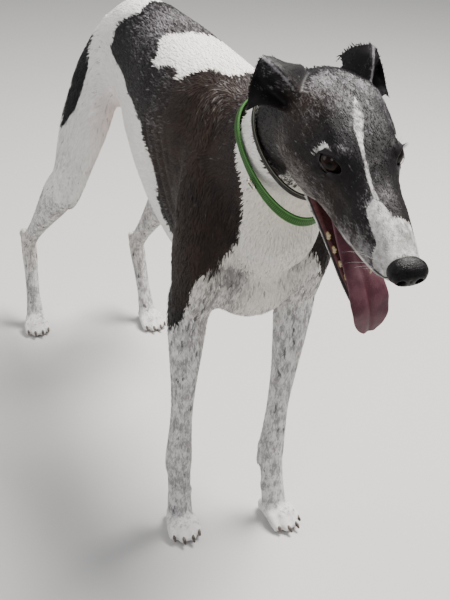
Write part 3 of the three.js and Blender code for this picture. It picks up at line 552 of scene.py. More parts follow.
def foot(leg, thumb):
    heelPad = [
        [-24, 0, 13, 12, 16, 16, 16, 2.2, 0], [-8, 0, 18, 17, 21, 20.5, 20.5, 2.3, 0],
        [8, 0, 19, 17, 22, 21.5, 21.5, 2.3, 0],
    ]
    pieces = [loft(heelPad, rings=12, sides=30, startDome=9, endDome=9)]
    for y, reach, knuckle, half in toeRows:
        spread = y * toeSpread
        pieces.append(loft([
            [-8, y * 0.72, knuckle - 12, 9, 9, half * 0.9, half * 0.9, 2.1, 0],
            [reach * 0.34, y, knuckle - 10, 10.5, 10, half, half, 2.1, 0],
            [reach * 0.66, y + spread * 0.6, knuckle - 14, 9.5, 11, half, half, 2.1, 0],
            [reach * 0.92, y + spread, 9, 8, 11, half * 0.85, half * 0.85, 2.1, 0],
        ], rings=16, sides=20, startDome=6, endDome=5))
    if thumb:
        y = -leg["side"] * 16
        pieces.append(loft([
            [-18, y * 0.8, 80, 6, 6, 5, 5, 2, 0], [-13, y * 1.2, 64, 5.5, 5.5, 5, 5, 2, 0],
            [-9, y * 1.3, 57, 4, 4, 3.6, 3.6, 2, 0],
        ], up=(1, 0, 0), rings=10, sides=14, startDome=5, endDome=2))
    return turned(join(pieces), turnAbout("Z", leg["heading"]), leg["toes"])


def frontLeg(leg):
    side, elbow, wrist = leg["side"], leg["elbow"], leg["wrist"]
    return join([
        limb(leg["blade"], leg["point"], bladeRows, side, 24, 48, 16, 14),
        limb(leg["point"], elbow, upperArmRows, side, 24, 48, 14, 12),
        limb(elbow, wrist, forearmRows, side, 40, 40),
        limb(wrist, leg["toes"], pasternRows, side, 24, 40),
        ball((elbow[0] - 22, elbow[1], elbow[2] + 6), (15, 13, 18)),
        ball((wrist[0] - 17, wrist[1], wrist[2] - 20), (8, 9, 11)),
        foot(leg, True),
    ])


def hindLeg(leg):
    side, knee, hock = leg["side"], leg["knee"], leg["hock"]
    return join([
        limb(leg["hip"], knee, thighRows, side, 36, 52, 16, 14),
        limb(knee, hock, lowerLegRows, side, 40, 44, 14, 8),
        limb(hock, leg["heel"], heelRows, side, 12, 28, 10, 9),
        limb(hock, leg["toes"], rearPasternRows, side, 30, 36),
        foot(leg, False),
    ])


def halfSpace(point, normal, size=700):
    # a big block that starts at a plane and runs along its normal
    normal = unit(np.asarray(normal, float))
    u = unit(np.cross(normal, [0.3, 0.9, 0.1]))
    v = np.cross(normal, u)
    corner = np.array([[i, j, k] for i in (-1, 1) for j in (-1, 1) for k in (0, 1)], float) * size
    points = np.asarray(point, float) + corner[:, :1] * u + corner[:, 1:2] * v + corner[:, 2:] * normal
    faces = np.array([
        [0, 1, 3], [0, 3, 2], [4, 6, 7], [4, 7, 5], [0, 4, 5], [0, 5, 1], [2, 3, 7], [2, 7, 6], [0, 2, 6], [0, 6, 4],
        [1, 5, 7], [1, 7, 3],
    ])
    return outward(points, faces)


def placed(name, shape):
    return newPiece(name, toFrame(shape[0]), shape[1])


# both collars: t is the place along the neck, the rest in millimetres and degrees; the skins meet under the dark one
strap = {
    "green": {"t": 0.575, "slant": 0.56, "hang": 13, "width": 17, "thick": 2.4, "tilt": 26},
    "dark": {"t": 0.75, "slant": 0.38, "hang": 13, "width": 11, "thick": 2.4, "tilt": 14},
}


def strapFrame(t):
    row = along(neckRows, t)[0]
    forward = unit(along(neckRows, t + 0.02)[0, :3] - along(neckRows, t - 0.02)[0, :3])
    upward = unit(np.array([0, 0, 1.0]) - forward[2] * forward)
    side = np.cross(upward, forward)
    return row, forward, upward, side if side[1] > 0 else -side


seamRow, seamForward, seamUpward, _ = strapFrame(strap["dark"]["t"])
seamAt = seamRow[:3]
seamNormal = unit(seamForward + strap["dark"]["slant"] * seamUpward)
seamGap = 0.1

bodySkin = placed("bodySkin", join([
    torso(), neck(), ball((214, 3, 462), (58, 70, 76)),
    loft(tailRows, up=(1, 0, 0), rings=60, sides=30, startDome=10, endDome=5),
    *[frontLeg(leg) for leg in legs["front"].values()], *[hindLeg(leg) for leg in legs["hind"].values()],
]))
remeshed(bodySkin, dog["bodyVoxel"])
cutAway(bodySkin, [
    placed("front", halfSpace(seamAt + seamNormal * seamGap, seamNormal)),
    placed("under", halfSpace((0, 0, 0), (0, 0, -1), 1500)),
])
print("body skin", len(bodySkin.data.polygons))

# head skin: skull, ears, cheeks and lower jaw, with the mouth and the eye openings cut in
jawJoint = np.array(dog["jawJoint"], float)
jawTurn = turnAbout("Y", dog["jawOpen"])
eyeAt = np.array(dog["eyeAt"], float)


def turnJaw(shape):
    return (shape[0] - jawJoint) @ jawTurn.T + jawJoint, shape[1]


def skull():
    rows = levels([[x, 0, *rest] for x, *rest in skullTable])
    return loft(rows, rings=110, sides=110, startDome=12, endDome=6)


def palate():
    rows = [[x, 0, -66, top + 66, 6, half, half, 3, 0] for x, top, half, _ in palateTable]
    return loft(rows, rings=40, sides=48, startDome=4, endDome=4)


def belowLips():
    rows = [[x, 0, -90, edge + 90, 20, 60, 60, 6, 0] for x, _, _, edge in palateTable[1:]]
    return loft(rows, rings=30, sides=48, startDome=10, endDome=10)


def lowerJaw():
    rows = [[x, 0, z, above, below, half, half, 2.4, 0.05] for x, z, above, below, half in jawTable]
    return turnJaw(loft(rows, rings=50, sides=56, startDome=6, endDome=8))


def jawTrough():
    rows = [[x - 4, 0, z + above + 1, 4, 7, half - 5, half - 5, 3, 0] for x, z, above, _, half in jawTable[2:]]
    return turnJaw(loft(rows, rings=40, sides=40, startDome=4, endDome=4))


def eyeFrame(sign):
    # across the eye to its front corner, up, and out along its axis
    axis = unit(np.array(dog["eyeAxis"], float) * [1, sign, 1])
    upward = unit(np.array([0, 0, 1.0]) - axis[2] * axis)
    across = np.cross(upward, axis)
    return eyeAt * [1, sign, 1], across * np.sign(across[0]), upward, axis


lids = {"half": 12.6, "tall": 7.2, "lashTall": 7.8}


def almond(angle, half=11.6, tall=5.9):
    # the opening between the lids: a pointed oval, with its front corner lower
    c, s = np.cos(angle), np.sin(angle)
    x = half * c
    y = np.where(s > 0, tall * 1.05, tall * 0.85) * np.sign(s) * np.abs(s) ** 1.25 - 2.2 * c * np.abs(c)
    return x, y


def eyePrism(sign):
    at, across, upward, axis = eyeFrame(sign)
    sides, reach = 48, np.array([0, 12, 24, 36.0])
    x, y = almond(fullTurn(sides))
    rim = at + x[:, None] * across + y[:, None] * upward
    rings = rim[None] + axis * reach[:, None, None]
    points = np.concatenate([at[None], rings.reshape(-1, 3), (at + axis * reach[-1])[None]])
    return outward(points, gridFaces(len(reach), sides))


def lidRim(sign, radius=1.9, steps=72, sides=12):
    # a tube carried round the almond, on the eyeball
    at, across, upward, axis = eyeFrame(sign)
    x, y = almond(fullTurn(steps), lids["half"], lids["tall"])
    reach = dog["eyeRadius"] + 0.5
    depth = np.sqrt(np.maximum(reach**2 - x**2 - y**2, 6))
    path = at + x[:, None] * across + y[:, None] * upward + depth[:, None] * axis
    step = unit(np.roll(path, -1, 0) - np.roll(path, 1, 0))
    out = unit(path - at)
    out = unit(out - (out * step).sum(1, keepdims=True) * step)
    side = np.cross(step, out)
    turn = fullTurn(sides)[None, :, None]
    ring = path[:, None] + radius * (np.cos(turn) * out[:, None] + np.sin(turn) * side[:, None])
    return outward(ring.reshape(-1, 3), loopFaces(steps, sides))


def ear(lines, across=44, lengthwise=30):
    # a bent sheet through three lines, u from the inner to the outer edge and v from the skull to the rim,
    # with half of its wall on each side
    u, v = np.linspace(0, 1, across), np.linspace(0, 1, lengthwise)
    threads = np.stack([along(line, u) for line in lines], 1)
    sheet = np.stack([along(thread, v) for thread in threads], 1)
    normal = unit(np.cross(np.gradient(sheet, axis=1), np.gradient(sheet, axis=0)))
    wall = (2.1 - 0.9 * v)[:, None, None] * normal
    points = np.concatenate([(sheet + wall).reshape(-1, 3), (sheet - wall).reshape(-1, 3)])
    j, i = np.meshgrid(np.arange(lengthwise - 1), np.arange(across - 1), indexing="ij")
    a = j * across + i
    quads = np.stack([a, a + 1, a + across + 1, a + across], -1).reshape(-1, 4)
    faces = [quads[:, [0, 1, 2]], quads[:, [0, 2, 3]]]
    half = across * lengthwise
    faces += [f[:, ::-1] + half for f in faces[:2]]
    rim = np.concatenate([
        np.arange(across), np.arange(1, lengthwise) * across + across - 1,
        (lengthwise - 1) * across + np.arange(across - 2, -1, -1), np.arange(lengthwise - 2, 0, -1) * across,
    ])
    nextRim = np.roll(rim, -1)
    faces += [np.stack([rim, rim + half, nextRim], -1), np.stack([nextRim, rim + half, nextRim + half], -1)]
    return outward(points, np.concatenate(faces))


headSkin = placed("headSkin", join([
    neck(), *map(inHead, [
        skull(), *[ball((eyeAt[0] - 4, s * (eyeAt[1] - 8), eyeAt[2] + 0.5), (21.5, 20.5, 16.5)) for s in (1, -1)],
        *[lidRim(s) for s in (1, -1)], *[ear(lines) for lines in ears.values()],
    ]),
]))
remeshed(headSkin, dog["headVoxel"])
cutAway(headSkin, [
    placed("back", halfSpace(seamAt - seamNormal * seamGap, -seamNormal)),
    *[placed("hollow", inHead(shape)) for shape in (
        palate(), belowLips(), *[eyePrism(s) for s in (1, -1)],
        *[ball(eyeAt * [1, s, 1], [dog["eyeRadius"] + 0.35] * 3) for s in (1, -1)],
    )],
])
jawSkin = placed("jawSkin", inHead(lowerJaw()))
cutAway(jawSkin, [placed("trough", inHead(jawTrough()))])
both = newPiece("headParts", *join([(meshPoints(skin.data), trianglesOf(skin.data)) for skin in (headSkin, jawSkin)]))
print("head parts", len(both.data.polygons))
for old in (headSkin, jawSkin):
    bpy.data.objects.remove(old)
headSkin = remeshed(both, dog["headVoxel"])
headSkin.name = "headSkin"
print("head skin", len(headSkin.data.polygons))



def offSeam(skin, side, reach):
    # 0 at the seam under the strap, 1 from some millimetres behind it (side -1) or before it (side 1)
    return np.clip(side * ((toTable(meshPoints(skin.data)) - seamAt) @ seamNormal) / reach, 0, 1)


# smoothing: the joints of the body flow into each other, the lower legs and the head keep their detail
smoothing = {"legs": 0.07, "trunk": 0.62, "rounds": 60, "last": 0.5, "bodyLast": 4, "headLast": 3}
p = toTable(meshPoints(bodySkin.data))
aboveFoot, aboveElbow = np.clip((p[:, 2] - 60) / 60, 0, 1), np.clip((p[:, 2] - 300) / 120, 0, 1)
keep = offSeam(bodySkin, -1, 30)
relax(bodySkin, (smoothing["legs"] * aboveFoot + smoothing["trunk"] * aboveElbow) * keep, smoothing["rounds"])
relax(bodySkin, smoothing["last"] * keep, smoothing["bodyLast"])
relax(headSkin, smoothing["last"] * offSeam(headSkin, 1, 20), smoothing["headLast"])
bodyAxis = np.array([
    [-376, 0, 568], [-305, 3, 598], [-205, 5, 622], [-100, 7, 602], [20, 5, 576], [140, 1, 572], [200, 1, 572],
    [240, -3, 590], [270, -8, 625], [300, -13, 660], [345, -22, 690], [388, -31, 718], [430, -40, 742],
    [520, -53, 742],
], float)
# forms under the coat: each a line from one place to another with its radius and how far it swells, for both sides
faceForms = [
    [[-2, 44, -14], [-44, 50, -20], 8, 2.2], [[-34, 48, -40], [-70, 46, -56], 20, 2.0],
    [[-24, 41, 14], [-56, 46, 12], 13, -2.4], [[22, 32, -18], [46, 28, -22], 9, -2.2],
    [[24, 22, 2], [30, 24, -10], 7, -1.2], [[-16, 30, 24], [14, 26, 15], 8, 1.6],
    [[-70, 2, 36], [-24, 2, 32], 5, -1.0], [[0, 1.5, 25], [22, 1.5, 15], 7, -1.3],
    [[84, 17, -36], [106, 15, -34], 11, 1.9], [[36, 27, -46], [64, 25, -45], 6, 1.2],
    [[-28, 36, -72], [-14, 32, -62], 5, 1.6], [[8, 36, -8], [22, 31, -13], 4, 0.9],
    [[50, 11, 4], [100, 9, -8], 6, 0.7], [[-4, 40, -12], [12, 37, -12], 3, 1.0],
]
bodyForms = [
    [[176, 50, 694], [212, 80, 560], 10, 2.2], [[206, 56, 690], [238, 78, 560], 9, -1.8],
    [[150, 66, 660], [168, 92, 540], 12, -2.4], [[222, 74, 520], [196, 100, 420], 12, 1.8],
    [[150, 90, 520], [176, 102, 420], 9, -2.2], [[250, 50, 560], [240, 70, 470], 10, -1.8],
    [[-150, 42, 724], [-196, 46, 706], 12, 3.0], [[-150, 48, 690], [-226, 56, 640], 16, -2.2],
    [[-262, 62, 660], [-300, 100, 470], 10, -2.2], [[-330, 96, 560], [-366, 108, 430], 12, 2.0],
    [[-240, 74, 560], [-270, 104, 430], 14, 1.6], [[-116, 1, 734], [150, 1, 712], 5, -1.4],
    [[-120, 62, 600], [-180, 58, 560], 24, -2.6], [[320, 24, 650], [270, 30, 560], 10, 1.6],
    [[290, 2, 560], [262, 2, 470], 9, -2.4], [[268, 22, 540], [256, 30, 452], 16, 1.6],
    [[196, 98, 340], [186, 92, 180], 5, -0.9], [[-370, 118, 330], [-470, 133, 220], 6, -2.0],
]


def toLine(points, start, end):
    # the share of the way from start to end that lies nearest to each point, and the step from there to the point
    start, way = np.asarray(start, float), np.asarray(end, float) - start
    share = np.clip((points - start) @ way / (way @ way), 0, 1)
    return share, points - start - share[:, None] * way


def strokes(places, forms):
    # the sum of amount * exp(-(distance to the line / radius)^2) over the forms
    total = np.zeros(len(places))
    for start, end, radius, amount in forms:
        total += amount * np.exp(-(toLine(places, start, end)[1] ** 2).sum(1) / radius**2)
    return total


def pushed(skin, amount):
    # each point along its normal, by its own amount
    points = toTable(meshPoints(skin.data))
    setPoints(skin, toFrame(points + meshPoints(skin.data, "normal") * amount[:, None]))


def swell(skin, forms, onHead):
    # the strokes of one side are mirrored to the other
    points = toTable(meshPoints(skin.data))
    place = toHead(points) if onHead else points.copy()
    place[:, 1] = np.abs(place[:, 1] - (0 if onHead else np.interp(points[:, 0], bodyAxis[:, 0], bodyAxis[:, 1])))
    pushed(skin, strokes(place, forms))


def partToes(skin):
    # grooves between the toes and over each claw's root, in the foot's own frame
    points = toTable(meshPoints(skin.data))
    total = np.zeros(len(points))
    for leg in (*legs["front"].values(), *legs["hind"].values()):
        place = (points - leg["toes"]) @ turnAbout("Z", leg["heading"])
        near = (np.abs(place[:, 0]) < 70) & (np.abs(place[:, 1]) < 40) & (place[:, 2] < 50)
        total += near * strokes(place, toeForms)
    pushed(skin, total)


toeForms = [
    *[[[14, y * 0.9, 40], [34, y, 30], 4.2, -2.2] for y in (-12.5, 0, 12.5)],
    *[[[34, y, 30], [50, y * 1.1, 12], 4.4, -3.4] for y in (-12.5, 0, 12.5)],
    *[[[24, y, 32], [30, y, 30], 5.5, 1.3] for y in (-18.5, -6.4, 6.4, 18.5)],
    *[[[36, y * 1.08, 24], [42, y * 1.1, 20], 4.5, -0.9] for y in (-19, -6.5, 6.5, 19)],
]
swell(bodySkin, bodyForms, False)
swell(headSkin, faceForms, True)
partToes(bodySkin)
relax(bodySkin, 0.35 * offSeam(bodySkin, -1, 30), 2)

# the ribs: waves that lean back as they go down
ribs = {"apart": 27, "lean": 0.42, "high": 0.9}
p = toTable(meshPoints(bodySkin.data))
onRibs = smooth(p[:, 0], -60, 0) * smooth(-p[:, 0], -150, -110)
onRibs = onRibs * smooth(p[:, 2], 450, 500) * smooth(-p[:, 2], -640, -600) * smooth(np.abs(p[:, 1]), 50, 70)
wave = np.cos(2 * np.pi * (p[:, 0] + ribs["lean"] * (p[:, 2] - 560)) / ribs["apart"])
pushed(bodySkin, ribs["high"] * onRibs * wave)
for skin, depth in ((bodySkin, dog["coatDepth"]), (headSkin, dog["faceDepth"])):
    p = toTable(meshPoints(skin.data))
    inwards = depth * np.clip(p[:, 2] / 3, 0, 1)
    p = p - meshPoints(skin.data, "normal") * inwards[:, None]
    p[:, 2] = np.maximum(p[:, 2], 0)
    setPoints(skin, toFrame(p))
thinned(bodySkin, dog["bodyTriangles"])
thinned(headSkin, dog["headTriangles"])
print("skins smoothed")

# the markings, worked out at any points of the dog so that skin and coat carry the same ones
# outlines on the body as [x, degrees round the axis], 0 on the back and less than 0 on the right
saddle = [
    [-150, -7], [-136, -16], [-169, -26], [-196, -39], [-200, -54], [-205, -66], [-171, -70], [-117, -69], [-74, -74],
    [-29, -70], [27, -72], [66, -97], [78, -110], [73, -135], [88, -142], [100, -147], [150, -153], [209, -153],
    [232, -148], [246, -144], [262, -149], [255, -154], [258, -151], [284, -158], [292, -153], [299, -138],
    [297, -115], [290, -89], [286, -67], [290, -54], [287, -36], [306, -30], [330, -36], [350, -78], [358, -112],
    [368, -140], [388, -157], [402, -161], [560, -161], [560, 161], [402, 161], [380, 152], [368, 136], [356, 100],
    [330, 52], [300, 50], [286, 66], [291, 92], [290, 128], [280, 152], [262, 150], [246, 147], [214, 152],
    [150, 152], [108, 140], [84, 122], [60, 92], [0, 74], [-60, 80], [-110, 70], [-172, 76], [-208, 66], [-216, 52],
    [-196, 36], [-168, 22], [-158, 8],
]
backPatch = [
    [-26, -17], [-10, -5], [-4, 9], [5, 22], [40, 29], [85, 25], [120, 29], [148, 17], [160, 1], [159, -6], [139, -8],
    [122, -11], [112, -14], [106, -20], [97, -27], [79, -28], [63, -24], [41, -26], [27, -31], [3, -32], [0, -26],
]
# patches seen from the side, as [x, z]: the first on the right thigh, the second on the left
thighPatches = [
    [[-298, 642], [-297, 631], [-277, 601], [-274, 564], [-287, 532], [-315, 495], [-337, 480], [-385, 470],
     [-430, 520], [-430, 620], [-366, 655], [-320, 648]],
    [[-330, 640], [-312, 610], [-318, 575], [-345, 548], [-400, 540], [-430, 600], [-370, 650]],
]
# white marks on the head, in its own frame: the blaze as [x, y], the muzzle as [x, degrees round z = -25]
blaze = [
    [-42, 4], [-32, 6.5], [-20, 5], [-6, 0.5], [6, -4], [22, -6], [44, -7], [62, -6], [62, -9.5], [44, -9],
    [22, -8.5], [6, -8], [-6, -8], [-20, -5], [-32, 0],
]
muzzle = [
    [66, -40], [61, -22], [67, -9], [76, -3], [82, 6], [84, 24], [86, 46], [92, 66], [99, 92], [104, 130], [150, 130],
    [150, -130], [108, -110], [102, -86], [98, -60], [84, -52],
]


def insideBy(outline, u, v):
    # the distance to the nearest edge of a closed outline, more than 0 inside it
    outline = np.asarray(outline, float)
    nearest, inside = np.full(len(u), 1e9), np.zeros(len(u), bool)
    for (u0, v0), (u1, v1) in zip(outline, np.roll(outline, -1, 0)):
        share = np.clip(((u - u0) * (u1 - u0) + (v - v0) * (v1 - v0)) / ((u1 - u0) ** 2 + (v1 - v0) ** 2), 0, 1)
        nearest = np.minimum(nearest, np.hypot(u - u0 - share * (u1 - u0), v - v0 - share * (v1 - v0)))
        inside ^= ((v0 > v) != (v1 > v)) & (u < (u1 - u0) * (v - v0) / (v1 - v0 + 1e-9) + u0)
    return np.where(inside, nearest, -nearest)


def clouds(points, rows):
    # the strongest of several soft blobs [x, y, z, radius, amount] at each point
    total = np.zeros(len(points))
    for *centre, radius, amount in rows:
        total = np.maximum(total, amount * np.exp(-((points - centre) ** 2).sum(1) / radius**2))
    return total


wrap = lambda outline, size: [[u, np.radians(v) * size] for u, v in outline]
roundBody, roundFace, roundMuzzle = 80, 45, 26  # millimetres for each radian round them


# soft spots as [x, y, z, radius, amount], in the head's frame for the face, ears, throat and muzzle: grey and dark
# hairs (on the top of the back the grey is a painted sheen), brown or cream, flecks, white, thin coat, longer,
# shorter and loose coat
softSpots = {
    "faceGrey": [
        [-80, -22, 34, 36, 0.85], [-74, 22, 34, 38, 0.75], [-44, -4, 34, 34, 0.5], [-6, -2, 26, 22, 0.36],
        [10, -22, 16, 9, 0.6], [40, -8, 8, 14, 0.35], [64, -12, 0, 16, 0.7], [62, 8, 0, 16, 0.55],
        [-60, -48, -40, 34, 0.5], [-24, -40, -50, 34, 0.85], [20, -26, -48, 26, 0.9], [60, -26, -44, 20, 1.0],
        [90, -24, -36, 24, 1.0], [-30, 44, -40, 34, 0.6], [60, 26, -44, 26, 0.8], [90, 22, -36, 24, 1.0],
        [-56, 36, 22, 30, 0.6], [-20, 38, 18, 16, 0.55], [-40, -44, 18, 22, 0.55], [-62, -42, 12, 20, 0.55],
        [-72, -44, -60, 26, 0.85], [-72, 44, -60, 26, 0.7],
    ],
    "faceDark": [
        [-45, -54, 0, 15, 0.7], [-22, -44, 14, 12, 0.8], [12, -36, 4, 15, 0.9], [12, 36, 4, 15, 0.9],
        [34, -26, -14, 24, 0.55], [34, 26, -14, 24, 0.6], [70, 20, -8, 16, 0.9], [-90, -48, 10, 20, 0.8],
        [-90, 48, 10, 20, 0.8],
    ],
    "bodyGreyAndSheen": [
        # the first two spots, along the top of the back, are a painted sheen; the others are silver hairs
        [-60, -4, 725, 90, 0.72], [60, 30, 700, 60, 0.7], [60, -50, 690, 60, 0.4], [190, -30, 700, 50, 0.5],
        [250, -30, 690, 40, 0.45], [-90, -60, 640, 40, 0.25], [70, -82, 630, 44, 0.42], [0, -70, 610, 40, 0.25],
        [60, -84, 590, 30, 0.22], [330, -30, 720, 30, 0.3],
    ],
    "earGrey": [
        [-96, -64, 36, 13, 0.45], [-84, -50, 24, 12, 0.4], [-96, 50, 36, 12, 0.3], [-88, -66, 14, 12, 0.25],
    ],
    "bodyWarm": [
        [190, -70, 640, 110, 0.8], [220, -80, 520, 100, 0.7], [120, -85, 600, 80, 0.6], [200, 80, 600, 140, 0.7],
        [0, 80, 600, 120, 0.5], [260, 0, 480, 90, 0.7], [340, -20, 600, 80, 0.9], [-520, -133, 180, 50, 0.8],
        [-450, 76, 175, 50, 0.8],
    ],
    "faceWarm": [
        [-30, -44, -46, 34, 0.75], [20, -30, -40, 30, 0.6], [-30, 44, -46, 34, 0.7], [70, 0, -80, 60, 0.6],
        [-50, -44, 14, 26, 0.6], [-60, -40, -50, 30, 0.8],
    ],
    "bodyTicks": [
        [258, -54, 470, 50, 1.0], [232, -62, 424, 58, 0.95], [270, 46, 480, 50, 0.75], [246, 64, 424, 54, 0.85],
        [285, 0, 540, 60, 0.55], [320, -36, 610, 60, 0.42], [-300, -60, 640, 120, 0.42], [-240, -60, 560, 120, 0.4],
        [-300, 60, 600, 140, 0.45], [-300, -90, 400, 120, 0.5], [-260, 90, 400, 120, 0.5], [0, -20, 400, 120, 0.3],
    ],
    "throatTicks": [
        [-74, -44, -66, 24, 0.9], [-74, 44, -66, 24, 0.7], [-50, -36, -76, 20, 0.5],
    ],
    "muzzleWhite": [[98, 0, -10, 32, 1.0]],
    "bareSkin": [
        [-120, -30, 500, 50, 0.8], [-120, 40, 500, 50, 0.8], [-200, 0, 520, 60, 0.8], [-170, 20, 500, 60, 0.8],
    ],
    "longer": [
        [-360, -90, 500, 80, 14], [-350, 90, 500, 80, 14], [300, -10, 560, 90, 13.5], [-400, 0, 560, 50, 12],
    ],
    "shorter": [[342, -74, 645, 22, 0.72]],
    "loose": [
        [-366, -90, 520, 70, 1], [-366, 90, 520, 70, 1], [290, -10, 540, 50, 0.8], [262, -60, 470, 40, 0.5],
        [262, 60, 470, 40, 0.5], [-400, 0, 560, 40, 0.6], [180, -90, 380, 30, 0.5], [180, 90, 380, 30, 0.5],
    ],
}


def darkOnBody(p):
    # millimetres inside the saddle and outside the back's white patch, or inside a thigh's patch
    centre = np.stack([np.interp(p[:, 0], bodyAxis[:, 0], bodyAxis[:, i]) for i in (1, 2)], 1)
    around = np.arctan2(p[:, 1] - centre[:, 0], p[:, 2] - centre[:, 1]) * roundBody
    inSaddle, inPatch = (insideBy(wrap(outline, roundBody), p[:, 0], around) for outline in (saddle, backPatch))
    dark = np.minimum(inSaddle, -inPatch)
    for outline, sign in zip(thighPatches, (-1, 1)):
        dark = np.maximum(dark, np.minimum(insideBy(outline, p[:, 0], p[:, 2]), sign * p[:, 1] - 22))
    return dark


def darkOnFace(h, overLip):
    # millimetres from the white of the throat, the blaze, the muzzle, the arc over each eye and the lips' band
    turn = np.arctan2(h[:, 1], h[:, 2] + 25)
    limit = 161 - 8 * smooth(h[:, 0], -98, -72) - 15 * smooth(h[:, 0], -70, -30) - 14 * smooth(h[:, 0], -20, 60)
    dark = np.radians(limit) * roundFace - np.abs(turn) * roundFace
    dark = np.minimum(dark, -np.where(h[:, 2] > 0, insideBy(blaze, h[:, 0], h[:, 1]), -20))
    dark = np.minimum(dark, -insideBy(wrap(muzzle, roundMuzzle), h[:, 0], turn * roundMuzzle))
    for sign in (1, -1):
        at, right, upward, axis = eyeFrame(sign)
        x, y = (h - at) @ right, (h - at) @ upward
        back = np.maximum(-5.5 - x, 0)
        off = np.abs(y - 11.4 + 0.0048 * back**3) / np.sqrt(1 + (0.0144 * back**2) ** 2)
        arc = 1.8 - 0.018 * (x + 11.5) ** 2 - off
        dark = np.minimum(dark, np.where((h - at) @ axis > -9, -2.4 * arc, 50))
    band = np.where(h[:, 2] < -20, overLip - 1 - 5 * smooth(h[:, 0], 10, 80), 50) + 40 * (h[:, 0] < -5)
    return np.minimum(dark, band)


def tableAt(table, x, *columns):
    # the sum of some columns of a table at each x
    table = np.array(table)
    return np.interp(x, table[:, 0], table[:, columns].sum(1))


def coatAt(p):
    # dark: millimetres inside the dark coat; grey: silver hairs in it, and a painted sheen on the top of the back;
    # warm: brown or cream; ticks: flecks in the white, and a painted shade on the lips' pale band and in part on the
    # lower legs; bare: pink skin that shows; cover: the length of the coat
    h = toHead(p)
    onHead = smooth(h[:, 0], -128, -100) * smooth(p[:, 2], 500, 560)
    overLip = h[:, 2] - tableAt(palateTable, h[:, 0], 3)
    body, face, onEar = darkOnBody(p), darkOnFace(h, overLip), earness(h)
    dark = body + (np.maximum(face, onEar * 30) - body) * onHead
    foreleg = 60 * (p[:, 0] > 100)
    low = smooth(-p[:, 2], -400 - foreleg, -330 - foreleg)
    grey = clouds(h, softSpots["faceGrey"]) * onHead
    grey *= 1 - clouds(h, softSpots["faceDark"])
    grey = np.maximum(grey, clouds(p, softSpots["bodyGreyAndSheen"]) * (1 - onHead))
    inEar = clouds(h, softSpots["earGrey"])
    grey = np.maximum(grey * (1 - 0.75 * onEar), np.maximum(earRim(h), inEar) * onHead)
    warm = np.maximum(clouds(p, softSpots["bodyWarm"]), clouds(h, softSpots["faceWarm"]) * onHead)
    # on the lower legs the grey flecks are the coat's own roan, set denser and darker in part as a painted shade
    ticksAndShade = np.maximum(0.78 * low, clouds(p, softSpots["bodyTicks"]))
    ticksAndShade = np.maximum(ticksAndShade, 0.35 * smooth(-np.abs(h[:, 0] - 60), -60, -20) * (h[:, 2] < -60) * onHead)
    # the lips' band is white hair; flecking it grey here is a painted shade
    ticksAndShade = np.maximum(ticksAndShade, 0.5 * (h[:, 0] > 0) * (np.abs(overLip - 2) < 9) * onHead)
    ticksAndShade = np.maximum(ticksAndShade, clouds(h, softSpots["throatTicks"]) * onHead)
    ticksAndShade *= 1 - 0.6 * smooth(-p[:, 2], -46, -4)
    ticksAndShade -= 0.4 * clouds(h, softSpots["muzzleWhite"])
    bare = clouds(p, softSpots["bareSkin"]) * (dark < 4)
    cover = lengthAt(p, h, onHead, onEar)
    return {"dark": dark, "grey": grey, "warm": warm, "ticksAndShade": ticksAndShade, "bare": bare, "cover": cover}


def farFrom(places, spots):
    # the distance to the nearest of the spots
    near = np.full(len(places), 1e9)
    for spot in spots:
        near = np.minimum(near, ((places - spot) ** 2).sum(1))
    return np.sqrt(near)


def earness(h):
    # 1 on the ears, from their distance to the middle threads of each
    spots = []
    for lines in ears.values():
        a, b, c = (along(line, np.linspace(0, 1, 13)) for line in lines)
        spots += [(a + b) / 2, b, (b + c) / 2, c]
    return 1 - smooth(farFrom(h, np.concatenate(spots)), 7, 16)


def earRim(h):
    # 1 on the pale ridge where each ear folds over
    ridges = [along([line[2] for line in lines], np.linspace(0.1, 1, 30)) for lines in ears.values()]
    return 1 - smooth(farFrom(h, np.concatenate(ridges)), 0.6, 2.7)


def lengthAt(p, h, onHead, onEar):
    # how long the coat is, in millimetres
    body = np.interp(p[:, 2], [0, 30, 110, 330, 430], [2.2, 3.2, 5, 7, 11])
    body = np.maximum(body, clouds(p, softSpots["longer"]))
    body *= 1 - clouds(p, softSpots["shorter"])
    face = np.interp(h[:, 0], [-140, -110, -70, 20, 80, 125], [10, 7, 5.6, 4.4, 3.6, 2.4])
    return body + (face * (1 - onEar) + 2.6 * onEar - body) * onHead


